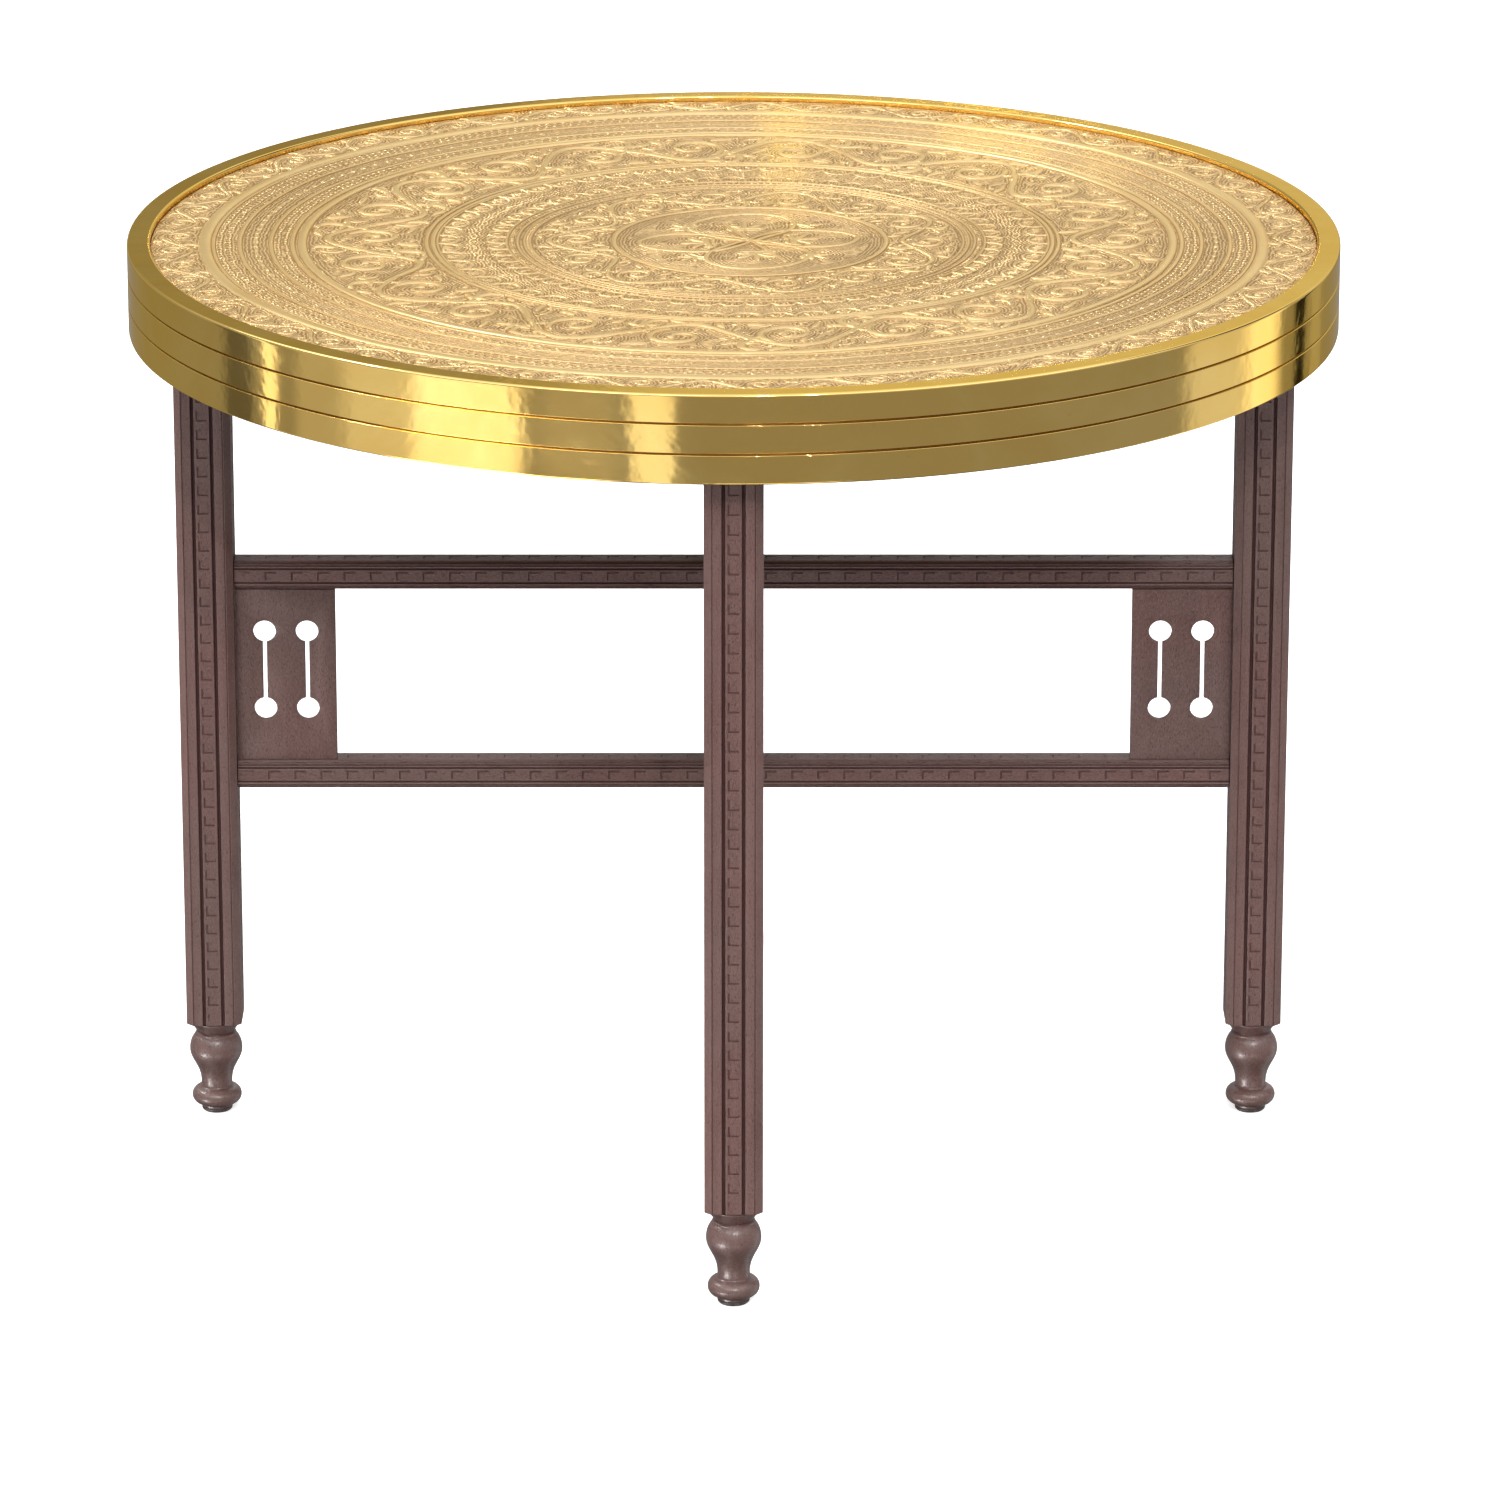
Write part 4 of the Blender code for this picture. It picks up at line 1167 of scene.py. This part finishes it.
def place_panels(mesh):
    """Each panel starts at its inner, free edge and runs outwards to its post."""
    for leg, body, axis in (("right", "side_frame", 0), ("left", "side_frame", 0),
                            ("front", "front_frame", 1), ("back", "front_frame", 1)):
        low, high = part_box(leg + "_panel")
        centre = (low + high) / 2
        outward = 1 if centre[axis] > 0 else -1
        start = min((low[axis], high[axis]), key=abs)
        if axis == 0:
            place = Matrix.Translation((start, centre.y, centre.z))
            turn = Matrix.Rotation(0.0 if outward > 0 else math.pi, 4, "Z")
        else:
            place = Matrix.Translation((centre.x, start, centre.z))
            turn = Matrix.Rotation(outward * math.pi / 2, 4, "Z")
        place_copy(leg + "_panel_pierced", mesh, place @ turn, leg + "_panel", body)


# ---- feet, glides, pads

def ellipse_arc(centre_r, centre_z, reach, half_height, start, end, steps):
    """Points of an ellipse's arc in the (radius, height) plane, between angles in degrees."""
    angles = np.radians(np.linspace(start, end, steps + 1))
    return [(centre_r + reach * math.cos(a), centre_z + half_height * math.sin(a))
            for a in angles]


def bezier(points, steps):
    """Points of a cubic Bezier curve in the (radius, height) plane."""
    a, b, c, d = (np.array(p, float) for p in points)
    t = np.linspace(0.0, 1.0, steps + 1)[:, None]
    return [tuple(p) for p in (1 - t) ** 3 * a + 3 * t * (1 - t) ** 2 * b
            + 3 * t * t * (1 - t) * c + t ** 3 * d]


def foot_profile(top):
    """Turned foot, top to bottom: collar, quirk, vase, waist, neck, ring and short base."""
    collar = rounded([(0.0, top), (13.35, top), (13.1, top - 0.9), (10.25, 44.2), (9.9, 43.6),
                      (9.45, 43.25), (9.45, 42.95), (9.9, 42.75)], 0.30, 3)
    shoulder = [(10.25, 42.45), (10.45, 42.05), (10.42, 41.75), (10.5, 41.45)]
    shoulder += bezier([(10.6, 41.3), (12.0, 40.0), (13.4, 37.0), (13.4, 33.5)], 14)
    waist = bezier([(13.4, 33.5), (13.4, 27.5), (7.85, 24.5), (7.85, 15.4)], 18)
    neck = [(7.80, 14.4), (7.85, 13.6), (8.25, 13.0)]
    ring = ellipse_arc(8.4, 8.35, 4.2, 4.4, 84, -88, 24)
    return collar + shoulder[1:] + waist[1:] + neck + ring + [(8.05, 3.6), (8.0, 2.5), (0.0, 2.5)]


def build_feet(wood, plastic, felt):
    """Feet, glides and top pads: one mesh each, placed at the four legs."""
    post_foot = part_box("right_post")[0].z / MM
    foot = lathe("foot_turned", foot_profile(post_foot - CLEARANCE), 72, wood)
    co, out = places_of(foot.data)
    crest = np.clip(1 - np.abs(out - 13.2) / 0.9, 0, 1) * (co[:, 2] < 48.9)
    # Painted shade: the quirk under the collar and the neck above the ring are darkened.
    quirk = np.clip(1 - np.abs(co[:, 2] - 43.0) / 0.9, 0, 1) * (out < 10.4)
    neck = np.clip(1 - np.abs(co[:, 2] - 13.3) / 0.9, 0, 1)
    point_attribute(foot.data, "wear", 0.5 * crest)
    point_attribute(foot.data, "groove_shade", np.maximum(0.9 * quirk, 0.75 * neck))
    glide_profile = rounded([(0.0, 2.2), (7.9, 2.2), (7.7, 0.8), (6.9, 0.0), (0.0, 0.0)], 0.4, 3)
    glide = lathe("glide_moulded", glide_profile, 56, plastic)
    pad_low, pad_high = (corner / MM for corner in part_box("right_top_pad"))
    pad_radius = (pad_high.y - pad_low.y) / 2
    pad_profile = rounded([(0.0, pad_high.z), (pad_radius, pad_high.z), (pad_radius, pad_low.z),
                           (0.0, pad_low.z)], 0.5, 3)
    pad = lathe("pad_felt", pad_profile, 48, felt)
    for source, kind, slot in ((foot, "foot", "turned_wood"), (glide, "glide", "glide_plastic"),
                               (pad, "top_pad", "felt")):
        for leg, body, turn in (("right", "side_frame", 0.3), ("left", "side_frame", 2.1),
                                ("front", "front_frame", 4.0), ("back", "front_frame", 5.2)):
            low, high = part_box(leg + "_post")
            centre = (low + high) / 2
            matrix = (Matrix.Translation((centre.x, centre.y, 0.0))
                      @ Matrix.Rotation(turn, 4, "Z"))
            place_copy(f"{leg}_{kind}_detailed", source.data, matrix, f"{leg}_{kind}", body)
        bpy.data.objects.remove(source)


# ---- pivots

BOLT_SHANK = 3.0                    # radius
BOLT_HEAD_HEIGHT = 3.4


def build_pivots(zinc):
    """Each pivot's dome-headed bolt and washers, finer than the frame's own, and its nut."""
    for level in ("upper", "lower"):
        low, high = (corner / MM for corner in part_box(level + "_pivot_bolt"))
        head_radius = (high.x - low.x) / 2
        head_base = high.z - BOLT_HEAD_HEIGHT
        dome = ellipse_arc(0.0, head_base + 0.5, head_radius, 2.9, 90, 0, 12)
        bolt = dome + rounded([(head_radius, head_base + 0.3), (head_radius, head_base),
                               (BOLT_SHANK, head_base), (BOLT_SHANK, low.z), (0.0, low.z)],
                              0.15, 2)
        piece = lathe(level + "_pivot_bolt_domed", bolt, 40, zinc)
        stand_for(piece, level + "_pivot_bolt", "side_frame")
        for washer in ("head", "spacer", "nut"):
            node = f"{level}_{washer}_washer"
            low, high = (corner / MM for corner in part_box(node))
            edge = (high.x - low.x) / 2
            hole = BOLT_SHANK + CLEARANCE
            ring = [(hole, high.z), (edge, high.z), (edge, low.z), (hole, low.z),
                    (hole, high.z)]
            piece = lathe(node + "_pressed", rounded(ring, 0.25, 3)[:-1], 40, zinc, closed=True)
            stand_for(piece, node, "side_frame")
        carry_over(level + "_dome_nut", zinc)


# ---- studio

CAMERA_DISTANCE = 3.921             # in front of the table's axis
CAMERA_HEIGHT = 1.4705
CAMERA_PITCH = math.radians(18.044)
CAMERA_LENS = 195.76
CAMERA_SHIFT = 0.01089


def build_camera():
    data = bpy.data.cameras.new("camera")
    data.sensor_width = 36.0
    data.lens = CAMERA_LENS
    data.shift_x = CAMERA_SHIFT
    camera = bpy.data.objects.new("camera", data)
    camera.location = (0.0, -CAMERA_DISTANCE, CAMERA_HEIGHT)
    camera.rotation_euler = (math.pi / 2 - CAMERA_PITCH, 0.0, 0.0)
    bpy.context.scene.collection.objects.link(camera)
    bpy.context.scene.camera = camera


FLOOR_RADIUS = 14.0


def build_floor():
    """A wide round floor, pure white to the camera, that lights and mirrors in nothing."""
    rings, count = 24, 96
    angle = np.arange(count) * TAU / count
    radii = FLOOR_RADIUS * np.linspace(0.0005, 1.0, rings)[:, None] ** 1.5
    verts = np.stack([radii * np.cos(angle), radii * np.sin(angle),
                      np.zeros((rings, count))], -1).reshape(-1, 3)
    mesh = mesh_from_arrays("floor", verts, ring_quads(rings, count))
    floor = new_object("studio_floor", mesh, pale_floor())
    floor.visible_glossy = False
    floor.visible_diffuse = False


# Brightness of the surroundings near the horizon and overhead, and what is added to it: below
# the horizon, towards straight down, behind on the right and the left, and high in front
HORIZON_LIGHT, OVERHEAD_LIGHT = 0.60, 1.12
BELOW, STRAIGHT_DOWN = -0.27, -0.31
BEHIND_RIGHT, BEHIND_LEFT = 0.10, -0.30
HIGH_IN_FRONT = 0.80
# Soft boxes low round the table, seen in the rim's wall, and dark flags between them: azimuth
# from the front towards the right in degrees, half width, softness of their sides, brightness
LOW_BOXES = [(-51.0, 11.0, 5.0, 1.20), (-70.0, 8.0, 5.0, 0.46), (-29.0, 7.0, 4.0, 0.13),
             (-15.0, 3.8, 2.4, 0.95), (-97.0, 1.7, 1.0, 1.30), (118.5, 6.0, 6.0, 1.12),
             (103.5, 8.5, 5.0, 0.46), (-84.0, 6.0, 4.0, 0.20), (144.0, 3.5, 2.0, 0.14)]
LOW_FLAGS = [(-107.0, 4.5, 3.0, 0.60), (134.4, 2.4, 0.8, 0.97)]
# Lamps seen in rounded edges and in the feet, and last a dark flag: azimuth from the front
# towards the right, half width, elevation, half height, how much brighter than round them
LAMPS = [(-101.0, 4.0, 50.0, 4.0, 25.0), (-118.0, 24.0, 44.0, 8.0, 2.2),
         (-46.0, 22.0, -25.2, 5.0, 14.0), (9.0, 12.0, -24.6, 3.8, 11.0),
         (-24.0, 18.0, 40.0, 8.0, 1.6), (125.0, 18.0, 34.0, 17.0, -0.93)]
LAMP_SOFTNESS = 0.30                # of a lamp's sides, as a share of its half width
# Warm windows behind the table, mirrored in the lacquer of its top: azimuth from the back
# towards the right, half width, elevation, half height, brightness
BACK_WINDOWS = [(0.36, 0.15, 13.84, 0.34, 8.0), (0.52, 0.31, 13.53, 0.05, 20.0),
                (1.88, 0.38, 13.62, 0.09, 24.0), (2.66, 0.12, 13.70, 0.07, 18.0)]
WINDOW_SOFTNESS = 0.24
WARM = (1.0, 0.62, 0.06)


def surroundings(s, front, back, rise):
    """Brightness of the studio for directions given by two azimuths and the elevation."""

    def patch(azimuths, azimuth, half, elevation, tall, softness):
        return s.times(s.band(azimuths, azimuth, half, softness * half),
                       s.band(rise, elevation, tall, softness * tall))

    light = s.window(rise, 8.0, 48.0, HORIZON_LIGHT, OVERHEAD_LIGHT)
    below = s.window(rise, 4.0, -4.0)
    light = s.times(below, BELOW, light)
    light = s.times(s.window(rise, -36.0, -58.0), STRAIGHT_DOWN, light)
    level = s.times(s.window(rise, 3.0, 9.0), s.window(rise, 62.0, 26.0))
    right = s.times(s.window(back, -1.6, 0.6), s.window(back, 95.0, 60.0))
    left = s.times(s.window(back, -0.6, -2.2), s.window(back, -120.0, -60.0))
    light = s.times(s.times(right, level), BEHIND_RIGHT, light)
    light = s.times(s.times(left, level), BEHIND_LEFT, light)
    facing = s.window(s.math("ABSOLUTE", front), 112.0, 62.0)
    high = s.times(s.window(rise, 21.0, 31.0), s.window(rise, 66.0, 42.0))
    light = s.times(s.times(facing, high), HIGH_IN_FRONT, light)
    for azimuth, half, soft, bright in LOW_BOXES:
        box = s.times(s.band(front, azimuth, half, soft), below)
        light = s.times(box, bright, light)
    for azimuth, half, soft, dark in LOW_FLAGS:
        flag = s.times(s.band(front, azimuth, half, soft), below)
        light = s.times(light, s.times(flag, -dark, 1.0))
    for azimuth, half, elevation, tall, bright in LAMPS:
        lamp = patch(front, azimuth, half, elevation, tall, LAMP_SOFTNESS)
        light = s.times(light, s.times(lamp, bright, 1.0))
    glow = 0.0
    for azimuth, half, elevation, tall, bright in BACK_WINDOWS:
        pane = patch(back, azimuth, half, elevation, tall, WINDOW_SOFTNESS)
        glow = s.times(pane, bright, glow)
    return light, glow


def build_world():
    """Studio surroundings, bright above and boxed with soft lights below; white to the camera."""
    world = bpy.data.worlds.new("studio")
    world.use_nodes = True
    bpy.context.scene.world = world
    s = Nodes(world.node_tree)
    x, y, z = s.split(s.node("TexCoord").outputs["Generated"])
    to_degrees = math.degrees(1.0)
    front = s.times(s.math("ARCTAN2", x, s.times(y, -1.0)), to_degrees)
    back = s.times(s.math("ARCTAN2", x, y), to_degrees)
    rise = s.times(s.math("ARCSINE", z), to_degrees)
    light, glow = surroundings(s, front, back, rise)
    background = s.tree.nodes["Background"]
    background.inputs["Strength"].default_value = 1.0
    white = s.node("Background")
    white.inputs["Color"].default_value = (1.0, 1.0, 1.0, 1.0)
    warm = s.vector("SCALE", WARM)
    s.put(warm.node.inputs["Scale"], glow)
    s.put(background.inputs["Color"], s.vector("ADD", s.combine(light, light, light), warm))
    choose = s.node("MixShader")
    s.put(choose.inputs[0], s.node("LightPath").outputs["Is Camera Ray"])
    s.put(choose.inputs[1], background.outputs[0])
    s.put(choose.inputs[2], white.outputs[0])
    s.put(s.tree.nodes["World Output"].inputs["Surface"], choose.outputs[0])


# Key lights: azimuth from the front towards the right, elevation, strength, size in degrees
KEY_LIGHTS = [(5.3, 34.5, 0.62, 1.6), (15.6, 36.5, 0.46, 1.8)]


def build_lights():
    """Key lights for everything but the sheet, which shows only the soft surroundings."""
    receivers = bpy.data.collections.new("lit_by_the_keys")
    for obj in bpy.context.scene.objects:
        if obj.type == "MESH" and not obj.name.startswith("tray_sheet"):
            receivers.objects.link(obj)
    for number, (azimuth, elevation, strength, size) in enumerate(KEY_LIGHTS):
        data = bpy.data.lights.new(f"key_{number}", "SUN")
        data.energy = strength
        data.angle = math.radians(size)
        light = bpy.data.objects.new(f"key_{number}", data)
        a, e = math.radians(azimuth), math.radians(elevation)
        toward = Vector((math.sin(a) * math.cos(e), -math.cos(a) * math.cos(e), math.sin(e)))
        light.rotation_mode = "QUATERNION"
        light.rotation_quaternion = toward.to_track_quat("Z", "Y")
        light.location = toward * 6.0
        bpy.context.scene.collection.objects.link(light)
        light.light_linking.receiver_collection = receivers


def main():
    bpy.context.scene.view_settings.view_transform = "Standard"
    build_camera()
    build_world()
    build_floor()
    wood = stained_wood("stained_wood_satin", 0.42)
    polished = stained_wood("stained_wood_polished", 0.40, 0.45)
    zinc = zinc_plate()
    build_sheet()
    build_rim()
    build_posts(wood)
    build_rails(wood)
    build_panels(wood)
    build_feet(polished, glide_plastic(), pressed_felt())
    build_pivots(zinc)
    carry_over("tray_core_board", bare_plywood())
    carry_over("tray_hoop", wood)
    build_lights()


main()
